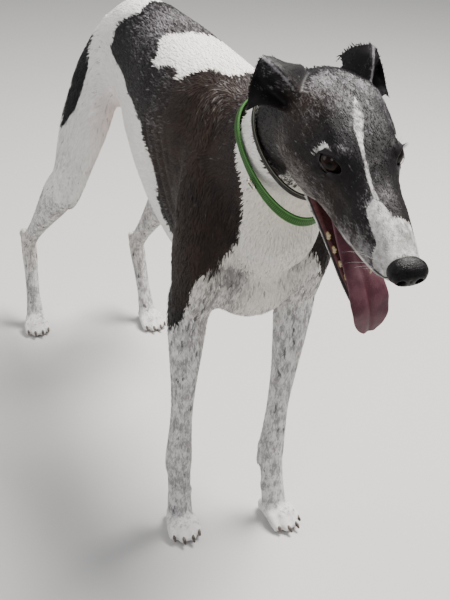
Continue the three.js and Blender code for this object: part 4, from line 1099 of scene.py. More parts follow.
# the way the coat lies, as lines from the nose to the tail and down the legs
legJoints = {"front": ("point", "elbow", "wrist", "toes"), "hind": ("hip", "knee", "hock", "toes")}
legLines = [[leg[name] for name in names] for pair, names in legJoints.items() for leg in legs[pair].values()]
headLine = lambda rows: inHead((np.array(rows, float), None))[0]
lieLines = [
    headLine([[122, 0, -16], [60, 0, 2], [0, 0, 24], [-60, 0, 34], [-125, 0, 14]]),
    *[headLine([[122, s * 14, -30], [60, s * 28, -30], [-10, s * 44, -20], [-70, s * 50, -30], [-125, s * 34, -34]])
      for s in (1, -1)],
    *[headLine([[60, s * 22, -46], [0, s * 32, -62], [-60, s * 40, -80], [-130, s * 34, -100]]) for s in (1, -1)],
    headLine([[95, 0, -104], [20, 0, -96], [-50, 0, -90], [-130, 0, -90]]),
    *[headLine([np.mean(line, 0) for line in lines]) for lines in ears.values()],
    [[410, -36, 770], [330, -20, 745], [250, -4, 706], [150, 1, 707], [0, 5, 714], [-100, 7, 729], [-205, 5, 723],
     [-300, 3, 676]],
    *[[[400, -33 + s * 46, 735], [320, -17 + s * 52, 690], [250, s * 62, 640], [120, s * 84, 590], [0, s * 86, 570],
       [-140, s * 62, 590]] for s in (1, -1)],
    *[[[-140, s * 62, 620], [-250, s * 52, 660], [-330, s * 60, 610], [-366, s * 60, 520]] for s in (1, -1)],
    *[[[180, s * 60, 690], [226, s * 78, 560], [206, s * 100, 450]] for s in (1, -1)],
    [[400, -33, 668], [330, -18, 600], [285, -5, 530], [262, 0, 440], [190, 0, 372], [60, 3, 384], [-60, 6, 432],
     [-150, 6, 490]],
    [row[:3] for row in tailRows], *legLines,
]
lieSteps = np.concatenate([
    np.stack([np.array(line, float)[:-1], np.array(line, float)[1:]], 1) for line in lieLines
])


def lieAt(points, normals):
    # the mean of the lines' directions, by 1 / distance^4, laid on the surface
    total = np.zeros_like(points)
    for start, end in lieSteps:
        apart = (toLine(points, start, end)[1] ** 2).sum(1) + 60
        total += unit(end - start) / apart[:, None] ** 2
    return unit(total - (total * normals).sum(1, keepdims=True) * normals)


# an unwrap of the skin's own shape: one band along each of its parts, [left, low, wide, tall] on the map
unwrapParts = [
    ([[-376, 0, 568], [-205, 5, 622], [20, 5, 576], [200, 1, 572], [300, -13, 660], [430, -40, 742]],
     [0, 0, 1], (0.0, 0.0, 1.0, 0.44)),
    (headLine([[-130, 0, -25], [0, 0, -20], [130, 0, -25]]), [0, 0, 1], (0.0, 0.45, 0.62, 0.3)),
    ([row[:3] for row in tailRows], [1, 0, 0], (0.64, 0.45, 0.36, 0.1)),
    *[(headLine([np.mean(line, 0) for line in lines]), [1, 0, 0], (0.64, 0.56 + 0.1 * i, 0.36, 0.09))
      for i, lines in enumerate(ears.values())],
    *[(line, [1, 0, 0], (0.25 * i, 0.77, 0.24, 0.22)) for i, line in enumerate(legLines)],
]


def unwrapAt(points):
    # along the nearest part's line and round it, in that part's band
    nearest, uv = np.full(len(points), 1e9), np.zeros((len(points), 2))
    for line, up, (left, low, wide, tall) in unwrapParts:
        line = np.array(line, float)
        lengths = np.linalg.norm(np.diff(line, axis=0), axis=1)
        done = np.concatenate([[0], np.cumsum(lengths)]) / lengths.sum()
        for k, (start, end) in enumerate(zip(line[:-1], line[1:])):
            way = end - start
            share, off = toLine(points, start, end)
            apart = (off**2).sum(1)
            upward = unit(np.array(up, float) - np.dot(up, unit(way)) * unit(way))
            angle = np.arctan2(off @ np.cross(unit(way), upward), off @ upward) / (2 * np.pi) + 0.5
            place = np.stack([left + wide * (done[k] + share * (done[k + 1] - done[k])), low + tall * angle], 1)
            closer = apart < nearest
            nearest[closer], uv[closer] = apart[closer], place[closer]
    return uv


def triangleMesh(name, points, faces, uv, values):
    # a mesh from whole arrays, with its OFBake map and a value for each point
    mesh = bpy.data.meshes.new(name)
    mesh.vertices.add(len(points))
    mesh.vertices.foreach_set("co", np.asarray(points, np.float32).ravel())
    mesh.loops.add(faces.size)
    mesh.loops.foreach_set("vertex_index", faces.ravel().astype(np.int32))
    mesh.polygons.add(len(faces))
    mesh.polygons.foreach_set("loop_start", np.arange(0, faces.size, 3, dtype=np.int32))
    mesh.polygons.foreach_set("use_smooth", np.zeros(len(faces), bool))
    mesh.uv_layers.new(name="OFBake").data.foreach_set("uv", uv[faces.ravel()].astype(np.float32).ravel())
    addValues(mesh, values)
    mesh.update(calc_edges=True)
    piece = bpy.data.objects.new(name, mesh)
    bpy.context.collection.objects.link(piece)
    return piece


def addValues(mesh, values):
    for key, value in values.items():
        value = np.asarray(value, np.float32)
        kind, slot = ("FLOAT_VECTOR", "vector") if value.ndim == 2 else ("FLOAT", "value")
        mesh.attributes.new(key, kind, "POINT").data.foreach_set(slot, value.ravel())


coat = {
    "sunk": 0.3, "wide": 0.16, "widest": 1.9, "thick": 0.12, "lift": 0.05, "scatter": 0.2, "lowest": 0.2,
    "patch": 0.0015,  # the size of a lock's or hair's patch on the map
    "parts": {
        "coatRump": 19500, "coatFlank": 16000, "coatChest": 17000, "coatNeck": 9000, "coatForelegs": 19500,
        "coatHindlegs": 19500, "coatHead": 19500,
    },
}


def rootsOn(skin, wanted, count, random):
    # random places on the skin, closer together where the coat is shorter: [point, normal, values]
    mesh = skin.data
    corners = trianglesOf(mesh)
    points, normals = toTable(meshPoints(mesh)), meshPoints(mesh, "normal")
    a, b, c = (points[corners[:, i]] for i in range(3))
    area = np.linalg.norm(np.cross(b - a, c - a), axis=1)
    cover = valuesOf(mesh, "cover")
    share = area * wanted[corners].mean(1) / cover[corners].mean(1) ** 1.6
    total = np.cumsum(share)
    chosen = np.searchsorted(total, random.random(count) * total[-1])
    u, v = random.random((2, count))
    over = u + v > 1
    u, v = np.where(over, 1 - u, u), np.where(over, 1 - v, v)
    weights = np.stack([1 - u - v, u, v], 1)[..., None]
    picked = corners[chosen]
    values = {key: (valuesOf(mesh, key)[picked] * weights[..., 0]).sum(1) for key in coatKeys}
    return (points[picked] * weights).sum(1), unit((normals[picked] * weights).sum(1)), values


def valuesOf(mesh, key):
    values = np.empty(len(mesh.vertices), np.float32)
    mesh.attributes[key].data.foreach_get("value", values)
    return values


def laid(name, root, points, faces, patch, values):
    # many copies of one small shape, each with the values and the map's patch of its own root
    many = len(patch)
    faces = faces[None] + many * np.arange(len(root))[:, None, None]
    points, faces = outward(points.reshape(-1, 3), faces.reshape(-1, 3))
    uv = (unwrapAt(root)[:, None] + patch * coat["patch"]).reshape(-1, 2)
    values = {key: np.repeat(v, many, axis=0) for key, v in {**values, "place": toFrame(root)}.items()}
    return triangleMesh(name, toFrame(points), faces, np.clip(uv, 0, 1), values)


# a lock has three points at its root, three at its middle and one at its tip
lockPatch = np.array([[-1, -1], [0, -1], [1, -1], [-1, 0], [0, 0], [1, 0], [0, 1]])
lockFaces = np.array([
    [0, 1, 2], [0, 3, 1], [1, 3, 4], [1, 4, 2], [2, 4, 5], [2, 5, 0], [0, 5, 3], [3, 6, 4], [4, 6, 5], [5, 6, 3],
])


def tufts(name, skin, wanted, count, seed):
    # flat locks with a sunk root, thin, bent along the lie of the coat
    random = np.random.default_rng(seed)
    root, normal, values = rootsOn(skin, wanted, count, random)
    lie = lieAt(root, normal)
    side = np.cross(normal, lie)
    turn = coat["scatter"] * random.normal(size=(count, 1))
    lie = np.cos(turn) * lie + np.sin(turn) * side
    side = np.cross(normal, lie)
    long = (values["cover"] * random.uniform(0.75, 1.2, count))[:, None]
    wide = np.minimum(long * coat["wide"] + 0.25, coat["widest"]) * random.uniform(0.7, 1.2, (count, 1))
    stray = 0.04 * random.random((count, 1)) ** 2
    lift = long * (np.minimum(long / 11, 1) * coat["lift"] + 0.02 + stray + values["loose"][:, None] * 0.16)
    spots = []
    for reach, height, across in ((-0.05, -coat["sunk"], 0.5), (0.45, lift * 0.75, 1.0)):
        middle = root + lie * long * reach + normal * height
        out, rise = side * wide * across / 2, normal * wide * coat["thick"] * across
        spots += [middle - out, middle + rise, middle + out]
    spots.append(root + lie * long + normal * lift)
    points = np.stack(spots, 1)
    points[..., 2] = np.maximum(points[..., 2], coat["lowest"])
    values["shade"] = random.uniform(-1, 1, count)
    del values["loose"]
    return laid(name, root, points, lockFaces, lockPatch, values)


coatKeys = ["dark", "grey", "warm", "ticksAndShade", "bare", "cover", "loose", "mouth", "lip"]


def mouthAt(p):
    # mouth: 1 on the lining of the mouth; lip: 1 on the black edge of the lips and the rims of the eyes
    h = toHead(p)
    j = (h - jawJoint) @ jawTurn + jawJoint
    across = np.abs(h[:, 1]) - tableAt(palateTable, h[:, 0], 2)
    edge = h[:, 2] - tableAt(palateTable, h[:, 0], 3)
    here = (h[:, 0] > -36) & (h[:, 0] < 108)
    top, half = tableAt(jawTable, j[:, 0], 1, 2), tableAt(jawTable, j[:, 0], 4)
    isJaw = (j[:, 2] < top + 2.5) & (np.abs(j[:, 1]) < half + 3) & (j[:, 0] < 112)
    roof = here & ~isJaw & (h[:, 2] < tableAt(palateTable, h[:, 0], 1) + 1.5)
    lining = smooth(-across, -1.2, 0.2) * roof
    lips = smooth(-edge, -4.5, -2) * smooth(across, -1, 0.5) * smooth(-across, -8, -5) * (here & ~isJaw)
    rim = np.abs(j[:, 1]) - half + 2.6
    height = j[:, 2] - top
    lining = np.maximum(lining, smooth(-rim, -1.2, 0.2) * smooth(height, -9, -7) * (isJaw & (j[:, 0] > -30)))
    lips = np.maximum(lips, smooth(height, -9, -6) * smooth(rim, -0.8, 0.6) * (isJaw & (j[:, 0] > -36)))
    for sign in (1, -1):
        at, right, upward, axis = eyeFrame(sign)
        x, y = (h - at) @ right, (h - at) @ upward
        ringAt = np.hypot(x / 13.6, (y + 0.16 * x) / 9.4)
        lips = np.maximum(lips, smooth(-ringAt, -1.36, -1.14) * ((h - at) @ axis > 2))
    return lining, lips


def addCoatValues(skin):
    p = toTable(meshPoints(skin.data))
    values = coatAt(p)
    values["loose"] = clouds(p, softSpots["loose"])
    values["mouth"], values["lip"] = mouthAt(p) if skin == headSkin else np.zeros((2, len(p)))
    values["place"] = meshPoints(skin.data)
    addValues(skin.data, values)


for skin in (bodySkin, headSkin):
    addCoatValues(skin)
print("markings ready")

# the nose's cuts, each a loft of rows [x, away from the middle, z, up, down, half width]
nostrils = {
    "hole": [[141, 6.6, -26.5, 3.8, 3.6, 3.2], [133, 9.0, -27, 3.6, 3.4, 3.4], [125, 10, -27, 1.8, 1.8, 1.8]],
    "slit": [[132, 9.9, -28, 1.9, 1.5, 2], [128, 15, -29.3, 1.5, 1.3, 2], [123, 21, -30.5, 1.2, 1.1, 2]],
    "groove": [[140, -0.5, -22, 4, 6, 0.8], [137.5, -0.5, -29, 4, 6, 0.8], [134, -0.5, -38, 4, 6, 0.8]],
}


def nosePiece():
    # the pad with its nostrils, the slits beside them and the groove below
    shape = loft(noseRows, rings=40, sides=60, startDome=3, endDome=3.5)
    piece = remeshed(placed("noseLeather", inHead(shape)), dog["noseVoxel"])
    cutters = []
    for name, rows in nostrils.items():
        for sign in (1, -1) if name != "groove" else (1,):
            table = [[x, 0.8 + sign * out, z, tall, low, half, half, 2, 0] for x, out, z, tall, low, half in rows]
            cutters.append(placed(name, inHead(loft(table, rings=16, sides=18, startDome=2, endDome=1.5))))
    for cutter in cutters:
        cutAway(piece, [cutter])
    remeshed(piece, dog["noseVoxel"])
    relax(piece, np.full(len(piece.data.vertices), 0.5), 3)
    shadeSmooth(piece.data)
    return piece


# roots beside the nose, on the chin, over the eye and on the cheek, as [x, away from the middle, z, length]
whiskers = {
    "muzzle": [[x, 17, z, long] for x, z, long in (
        (112, -30, 13), (106, -26, 15), (105, -33, 17), (98, -29, 18), (97, -36, 19), (90, -32, 20), (89, -39, 17),
        (80, -36, 16),
    )],
    "chin": [[x, 8, z, 9] for x, z in ((98, -62), (90, -66), (80, -69))],
    "brow": [[8, 36, 17, 8], [4, 38, 17, 9], [-12, 48, -34, 12], [-20, 46, -38, 12]],
    "thick": 0.26, "lash": 5, "lashes": 22,
}


# a hair has four rings of three points, thinner towards its tip: [share of the length, share of the width]
hairRings = [[-0.06, 1], [0.3, 0.85], [0.65, 0.55], [1.0, 0.12]]
hairPatch = np.stack(np.meshgrid([-1, 0, 1], [-1, -0.3, 0.3, 1]), -1).reshape(-1, 2)
hairFaces = np.array([[0, 2, 1], [9, 10, 11]] + [
    face for k in (0, 3, 6) for i in range(3) for face in (
        [k + i, k + (i + 1) % 3, k + 3 + i], [k + (i + 1) % 3, k + 3 + (i + 1) % 3, k + 3 + i])
])


def hairs(name, root, way, droop, long, wide, dark):
    # round tapering hairs, bent along droop by (share of the length)^2
    side = unit(np.cross(way, [0.3, 0.2, 1.0]))
    over = np.cross(side, way)
    turn = fullTurn(3)[:, None]
    ring = np.cos(turn) * side[:, None] + np.sin(turn) * over[:, None]
    points = np.stack([
        (root + way * long[:, None] * t + droop * long[:, None] * t * t)[:, None] + ring * wide / 2 * s
        for t, s in hairRings
    ], 1)
    values = {key: np.zeros(len(root)) for key in (*coatKeys, "shade") if key != "loose"}
    return laid(name, root, points, hairFaces, hairPatch, {**values, "dark": dark, "cover": long})


def faceHairs():
    # whiskers from the nearest place of the skin, pale on the muzzle, and a row of lashes on each upper lid
    skinAt, normal = toTable(meshPoints(headSkin.data)), meshPoints(headSkin.data, "normal")
    random = np.random.default_rng(47)
    rows = np.array([
        [x, s * y, z, long]
        for kind in ("muzzle", "chin", "brow") for x, y, z, long in whiskers[kind] for s in (1, -1)
    ], float)
    wanted = rows[:, :3] @ headTurn.T + headAt
    nearest = np.array([((skinAt - spot) ** 2).sum(1).argmin() for spot in wanted])
    back = headTurn @ np.array([-0.75, 0, -0.25])
    way = unit(normal[nearest] * 0.8 + back + random.normal(size=(len(rows), 3)) * 0.08)
    pale = np.where(rows[:, 0] > 50, -60.0, 60.0)
    droop = np.tile([0.0, 0, -0.16], (len(rows), 1))
    whisker = hairs("whiskers", skinAt[nearest], way, droop, rows[:, 3], whiskers["thick"], pale)
    roots, ways = [], []
    for sign in (1, -1):
        at, across, upward, axis = eyeFrame(sign)
        x, y = almond(np.radians(np.linspace(25, 155, whiskers["lashes"])), lids["half"], lids["lashTall"])
        depth = np.sqrt((dog["eyeRadius"] + 1.6) ** 2 - np.minimum(x**2 + y**2, 150))
        roots.append(at + x[:, None] * across + y[:, None] * upward + depth[:, None] * axis)
        ways.append(unit(axis * 0.9 + upward * 0.35 + across * (x / 22)[:, None]))
    roots, ways = np.concatenate(roots) @ headTurn.T + headAt, np.concatenate(ways) @ headTurn.T
    size = whiskers["lash"] * random.uniform(0.8, 1.15, len(roots))
    droop = np.tile(headTurn @ np.array([0.0, 0, 0.2]), (len(roots), 1))
    return whisker, hairs("lashes", roots, ways, droop, size, 0.4, np.full(len(roots), 60.0))


nose = nosePiece()


def tongueShape():
    # the loft, cupped: edges up by 2.4 * (out / half)^3 and the middle down by 1.5 * exp(-(out / 2.6)^2)
    points, faces = loft(tongueRows, rings=80, sides=60, startDome=4, endDome=2.5)
    rows = np.array(tongueRows)
    way = unit(np.gradient(rows[:, [0, 2]], axis=0))
    across = (rows[:, 1], rows[:, 5], -way[:, 1], way[:, 0])
    middle, half, upX, upZ = (np.interp(-points[:, 2], -rows[:, 2], column) for column in across)
    out = points[:, 1] - middle
    rise = 2.4 * np.minimum(np.abs(out) / half, 1) ** 3 - 1.5 * np.exp(-((out / 2.6) ** 2))
    return points + np.stack([upX * rise, 0 * rise, upZ * rise], 1), faces


tongue = placed("tongueFlesh", inHead(tongueShape()))
eyes = []
for name, sign in (("eyeLeft", 1), ("eyeRight", -1)):
    eyes.append(placed(name, inHead(ball(eyeAt * [1, sign, 1], [dog["eyeRadius"]] * 3, 64, 32))))


def tooth(row, sign, down):
    x, y, z, length, half = row
    lean = 1.2
    # one main point and, on a cheek tooth, a lower one before and behind it: [along, share of the length, width]
    points = [[0, 0.8, 0.6], [-0.45, 0.5, 0.55], [0.45, 0.52, 0.55]] if x < 90 else [[0, 1, 1]]
    cones = []
    for shift, tall, share in points:
        size, at = half * share, x + shift * half
        rows = [[at - lean, sign * y, z + down * 4, size, size, half * 0.34, half * 0.34, 2, 0]]
        for ahead, drop, thin, wide in ((0, 0.25, 1, 0.3), (lean, 0.85, 0.3, 0.16)):
            low = z - down * length * drop * tall
            rows.append([at + ahead, sign * y, low, size * thin, size * thin, half * wide, half * wide, 2, 0])
        cones.append(loft(rows, up=(1, 0, 0), rings=10, sides=14, startDome=1, endDome=1.0, domeRings=3))
    return join(cones)


teeth = placed("teeth", join([
    *[inHead(tooth(row, s, 1)) for row in upperTeeth for s in (1, -1)],
    *[inHead(turnJaw(tooth(row, s, -1))) for row in lowerTeeth for s in (1, -1)],
]))
p = toHead(toTable(meshPoints(tongue.data)))
rows = np.array(tongueRows)
# groove: 1 along the tongue's middle line, where a painted shade darkens it
addValues(tongue.data, {"groove": np.exp(-(p[:, 1] - np.interp(-p[:, 2], -rows[:, 2], rows[:, 1])) ** 2 / 4)})
for piece, sign in zip(eyes, (1, -1)):
    at, _, _, axis = eyeFrame(sign)
    p = toHead(toTable(meshPoints(piece.data))) - at
    fromAxis = np.linalg.norm(p - (p @ axis)[:, None] * axis, axis=1)
    addValues(piece.data, {"fromPupil": np.where(p @ axis > 0, fromAxis, dog["eyeRadius"])})
coneSize = 14 * 16 + 2  # the points of one cone
addValues(teeth.data, {"root": np.tile(np.linspace(1, 0, coneSize), len(teeth.data.vertices) // coneSize)})


def strapBand(t, slant, hang, width, thick, tilt, steps=160):
    # a flat band round the neck; `slant` leans it forwards below and `hang` lets its lower side hang loose
    row, forward, upward, side = strapFrame(t)
    clear = 0.6 + thick / 2
    angle = fullTurn(steps)
    c, s = np.cos(angle), np.sin(angle)
    bend = lambda v, size: np.sign(v) * np.abs(v) ** (2 / 2.1) * size
    below = np.maximum(-s, 0) ** 2
    rise = bend(s, np.where(s > 0, row[3], row[4]) + clear)
    rise = rise - hang * below
    middle = row[:3] + side * bend(c, row[5] + clear)[:, None]
    middle = middle + upward * rise[:, None] - forward * (slant * rise)[:, None]
    out = side * c[:, None] + upward * s[:, None]
    across = np.array([-1, -0.85, 0.85, 1, 1, 0.85, -0.85, -1]) * width / 2
    outer = np.array([-0.6, -1, -1, -0.6, 0.6, 1, 1, 0.6]) * thick / 2
    # the loose lower side tips outwards, so that its face shows from the front
    tip = np.radians(tilt) * below
    over = np.cos(tip)[:, None] * forward - np.sin(tip)[:, None] * out
    face = np.cos(tip)[:, None] * out + np.sin(tip)[:, None] * forward
    ring = middle[:, None] + over[:, None] * across[None, :, None] + face[:, None] * outer[None, :, None]
    faces = loopFaces(steps, len(across))
    points, turnedFaces = outward(ring.reshape(-1, 3), faces)
    flipped = not np.array_equal(turnedFaces, faces)
    run = np.concatenate([[0], np.cumsum(np.linalg.norm(np.diff(np.vstack([middle, middle[:1]]), axis=0), axis=1))])
    edge = across / width * 2
    i, j = np.indices((steps, len(edge)))
    a, b, c, d = (np.stack([run[i + m], edge[(j + n) % len(edge)]], -1) for m in (0, 1) for n in (0, 1))
    uv = np.concatenate([np.stack(three, 2).reshape(-1, 3, 2) for three in ((a, b, c), (b, d, c))])
    return points, turnedFaces, uv[:, ::-1] if flipped else uv


def strapPiece(name, sizes):
    points, faces, uv = strapBand(**sizes)
    piece = placed(name + "Strap", (points, faces))
    piece.data.uv_layers.new(name="strap").data.foreach_set("uv", uv.astype(np.float32).ravel())
    return piece


bands = {name: strapPiece(name, sizes) for name, sizes in strap.items()}


def claw(leg, row):
    y, reach, _, _ = row
    spread = y * toeSpread
    shape = loft([
        [reach - 8, y + spread, 12, 3.8, 3.8, 3.1, 3.1, 2, 0],
        [reach, y + spread * 1.05, 11.5, 3.5, 3.6, 2.6, 2.6, 2, 0],
        [reach + 4, y + spread * 1.1, 9, 2.5, 2.6, 1.8, 1.8, 2, 0],
    ], rings=12, sides=14, startDome=1, endDome=2.4, domeRings=4)
    return turned(shape, turnAbout("Z", leg["heading"]), leg["toes"])


claws = placed("claws", join([claw(leg, row) for pair in legs.values() for leg in pair.values() for row in toeRows]))


def newLook(name, roughness, **sockets):
    material = bpy.data.materials.new(name)
    material.use_nodes = True
    shader = material.node_tree.nodes["Principled BSDF"]
    for socket, value in {"Roughness": roughness, **sockets}.items():
        shader.inputs[socket.replace("_", " ")].default_value = value
    return material, material.node_tree, shader


def add(tree, kind, *values, **settings):
    # a node with its settings; each value is a number, a colour or another node's output, in the order of the sockets
    step = tree.nodes.new("ShaderNode" + kind)
    for key, value in settings.items():
        setattr(step, key, value)
    for socket, value in zip(step.inputs, values):
        if isinstance(value, bpy.types.NodeSocket):
            tree.links.new(value, socket)
        elif value is not None:
            socket.default_value = value
    return step.outputs[0]


def mixed(tree, share, low, high):
    step = tree.nodes.new("ShaderNodeMix")
    step.data_type = "RGBA"
    for socket, value in zip((step.inputs[0], step.inputs[6], step.inputs[7]), (share, low, high)):
        if isinstance(value, bpy.types.NodeSocket):
            tree.links.new(value, socket)
        else:
            socket.default_value = value if isinstance(value, (int, float)) else (*value, 1)
    return step.outputs[2]


def ramp(tree, value, low, high, start=0.0, end=1.0):
    return add(tree, "MapRange", value, low, high, start, end, interpolation_type="SMOOTHSTEP")


def maths(tree, operation, *values):
    return add(tree, "Math", *values, operation=operation)


times = lambda tree, a, b: maths(tree, "MULTIPLY", a, b)
timesPlus = lambda tree, a, b, c: maths(tree, "MULTIPLY_ADD", a, b, c)
plus = lambda tree, a, b: maths(tree, "ADD", a, b)
less = lambda tree, a, b: maths(tree, "SUBTRACT", a, b)


def speckle(tree, place, scale, detail=2.0, roughness=0.55):
    return add(tree, "TexNoise", place, None, scale, detail, roughness, noise_dimensions="3D")


def ownPlace(tree):
    return tree.nodes.new("ShaderNodeTexCoord").outputs["Object"]


def ownValue(tree, key, kind="Fac"):
    step = tree.nodes.new("ShaderNodeAttribute")
    step.attribute_name = key
    return step.outputs[kind]


def bumped(tree, shader, height, strength, distance):
    step = tree.nodes.new("ShaderNodeBump")
    step.inputs["Strength"].default_value = strength
    step.inputs["Distance"].default_value = distance
    tree.links.new(height, step.inputs["Height"])
    tree.links.new(step.outputs[0], shader.inputs["Normal"])


furLook = {
    # black and brown are the dark coat's own colours, set a little lighter as a painted sheen
    "white": (0.86, 0.845, 0.82), "cream": (0.76, 0.70, 0.60), "black": (0.0075, 0.0066, 0.0074),
    "brown": (0.047, 0.028, 0.020), "silver": (0.27, 0.255, 0.27), "fawn": (0.15, 0.13, 0.092),
    # roan and fleck also serve as a painted shade: on the lips' pale band, and in part on the lower legs
    "roanAndShade": (0.46, 0.44, 0.44), "fleckAndShade": (0.13, 0.122, 0.127), "spot": (0.05, 0.045, 0.048),
    "pink": (0.62, 0.36, 0.30), "gum": (0.10, 0.033, 0.032), "lip": (0.012, 0.010, 0.011),
    "fineGrain": 520, "smallGrain": 190, "wideGrain": 46,
}


def furMaterial():
    material, tree, shader = newLook("shortCoat", 0.6, Specular_IOR_Level=0.12)
    # the place of each point of the skins and, in the tufts, of the lock's root, so that a lock has one colour
    place = ownValue(tree, "place", "Vector")
    dark, grey, warm, ticksAndShade, bare, mouth, lip, shade, cover = (ownValue(tree, key) for key in (
        "dark", "grey", "warm", "ticksAndShade", "bare", "mouth", "lip", "shade", "cover"))
    fine, small, wide = (speckle(tree, place, furLook[grain]) for grain in ("fineGrain", "smallGrain", "wideGrain"))
    # the border of the dark coat wanders by a few millimetres, hair by hair
    wander = timesPlus(tree, wide, 7.0, timesPlus(tree, shade, 1.0, -7.5))
    wander = timesPlus(tree, small, 8.0, wander)
    wander = times(tree, wander, ramp(tree, cover, 2.0, 11.0, 0.18, 1.0))
    edge = plus(tree, dark, wander)
    inDark = ramp(tree, edge, -1.0, 1.0)
    # grey hairs mixed into the white, thicker where ticks is high, and darker spots, both drawn out up and down; on
    # the lips' pale band, and in part on the lower legs, they are a painted shade
    tall = add(tree, "VectorMath", place, (1, 1, 0.45), operation="MULTIPLY")
    mingled = lambda a, b: timesPlus(tree, shade, 0.07, timesPlus(tree, a, 0.45, times(tree, b, 0.55)))
    upright, hair = mingled(speckle(tree, tall, 420), speckle(tree, tall, 150)), mingled(fine, small)
    ticksAndShade = times(tree, ticksAndShade, ramp(tree, wide, 0.36, 0.62, 0.84, 1.1))
    least = timesPlus(tree, ticksAndShade, -0.38, 0.78)
    flecksAndShade = ramp(tree, less(tree, upright, least), -0.11, 0.13)
    spots = less(tree, speckle(tree, tall, 120, 1.0), timesPlus(tree, ticksAndShade, -0.19, 0.80))
    spots = ramp(tree, spots, 0.0, 0.09)
    pale = mixed(tree, warm, furLook["white"], furLook["cream"])
    pale = mixed(tree, times(tree, ticksAndShade, 0.5), pale, furLook["roanAndShade"])
    pale = mixed(tree, times(tree, flecksAndShade, 0.72), pale, furLook["fleckAndShade"])
    pale = mixed(tree, times(tree, spots, 0.8), pale, furLook["spot"])
    pale = mixed(tree, times(tree, bare, 0.7), pale, furLook["pink"])
    deep = mixed(tree, times(tree, warm, ramp(tree, wide, 0.3, 0.7, 0.45, 1.0)), furLook["black"], furLook["brown"])
    # silver hairs in the dark coat; along the top of the back this grey is a painted sheen
    saltAndSheen = ramp(tree, plus(tree, hair, timesPlus(tree, grey, 0.36, -0.70)), -0.10, 0.22, 0.0, 0.85)
    pepperAndSheen = mixed(tree, times(tree, warm, 0.75), furLook["silver"], furLook["fawn"])
    deep = mixed(tree, saltAndSheen, deep, pepperAndSheen)
    colour = mixed(tree, inDark, pale, deep)
    colour = mixed(tree, ramp(tree, shade, -1.0, 1.0, 0.0, 0.13), colour, (0, 0, 0))
    colour = mixed(tree, lip, colour, furLook["lip"])
    gum = mixed(tree, ramp(tree, speckle(tree, place, 130), 0.5, 0.62), furLook["gum"], (0.075, 0.026, 0.028))
    colour = mixed(tree, mouth, colour, gum)
    tree.links.new(colour, shader.inputs["Base Color"])
    wet = maths(tree, "MAXIMUM", times(tree, mouth, 0.38), times(tree, lip, 0.12))
    rough = ramp(tree, inDark, 0.0, 1.0, 0.78, 0.5)
    tree.links.new(less(tree, rough, wet), shader.inputs["Roughness"])
    bumped(tree, shader, timesPlus(tree, fine, 0.4, speckle(tree, place, 1300, 1.0)), 0.3, 0.0004)
    return material


def noseMaterial():
    material, tree, shader = newLook("noseLeather", 0.42, Specular_IOR_Level=0.14)
    place = ownPlace(tree)
    cells = tree.nodes.new("ShaderNodeTexVoronoi")
    cells.feature = "DISTANCE_TO_EDGE"
    cells.inputs["Scale"].default_value = 620
    tree.links.new(place, cells.inputs["Vector"])
    groove = ramp(tree, cells.outputs["Distance"], 0.0, 0.22)
    tree.links.new(mixed(tree, groove, (0.003, 0.0026, 0.003), (0.007, 0.006, 0.0065)), shader.inputs["Base Color"])
    tree.links.new(ramp(tree, speckle(tree, place, 90), 0.3, 0.7, 0.3, 0.46), shader.inputs["Roughness"])
    bumped(tree, shader, groove, 0.35, 0.0004)
    return material


def tongueMaterial():
    material, tree, shader = newLook("tongueFlesh", 0.5, Specular_IOR_Level=0.25, Coat_Weight=0.1, Coat_Roughness=0.3)
    place = ownPlace(tree)
    grain, cloud = speckle(tree, place, 900, 1.0), speckle(tree, place, 60)
    colour = mixed(tree, ramp(tree, cloud, 0.35, 0.65), (0.074, 0.023, 0.033), (0.122, 0.045, 0.058))
    colour = mixed(tree, ramp(tree, grain, 0.55, 0.7, 0.0, 0.25), colour, (0.18, 0.08, 0.092))
    # darker along the middle groove: a painted shade in the crease
    colour = mixed(tree, ownValue(tree, "groove"), colour, (0.07, 0.015, 0.022))
    tree.links.new(colour, shader.inputs["Base Color"])
    tree.links.new(ramp(tree, cloud, 0.3, 0.7, 0.42, 0.6), shader.inputs["Roughness"])
    bumped(tree, shader, grain, 0.5, 0.0006)
    return material


def eyeMaterial():
    # by the distance from the eye's axis: pupil, brown iris with rays, dark ring, then the white's brownish rim
    material, tree, shader = newLook("wetEye", 0.3, Specular_IOR_Level=0.04, Coat_Weight=0.2, Coat_Roughness=0.02)
    place = ownPlace(tree)
    out = ownValue(tree, "fromPupil")
    rays = ramp(tree, speckle(tree, place, 1400, 1.0), 0.4, 0.65)
    iris = mixed(tree, rays, (0.009, 0.004, 0.0025), (0.020, 0.009, 0.005))
    iris = mixed(tree, ramp(tree, out, 4.2, 5.6), iris, (0.010, 0.005, 0.003))
    colour = mixed(tree, ramp(tree, out, 2.8, 3.3), (0.0015, 0.0015, 0.0015), iris)
    colour = mixed(tree, ramp(tree, out, 6.6, 7.3), colour, (0.008, 0.005, 0.005))
    colour = mixed(tree, ramp(tree, out, 8.6, 9.8), colour, (0.022, 0.012, 0.010))
    tree.links.new(colour, shader.inputs["Base Color"])
    return material


def enamelMaterial():
    material, tree, shader = newLook("toothEnamel", 0.25, Coat_Weight=0.3, Coat_Roughness=0.1)
    stain = ramp(tree, ownValue(tree, "root"), 0.2, 1.0)
    stain = times(tree, stain, ramp(tree, speckle(tree, ownPlace(tree), 400), 0.3, 0.6))
    tree.links.new(mixed(tree, stain, (0.25, 0.185, 0.08), (0.10, 0.055, 0.022)), shader.inputs["Base Color"])
    return material


def clawMaterial():
    material, tree, shader = newLook("clawHorn", 0.38)
    place = ownPlace(tree)
    colour = mixed(tree, ramp(tree, speckle(tree, place, 150), 0.4, 0.62), (0.11, 0.085, 0.07), (0.028, 0.023, 0.021))
    tree.links.new(colour, shader.inputs["Base Color"])
    bumped(tree, shader, speckle(tree, place, 700), 0.3, 0.0004)
    return material


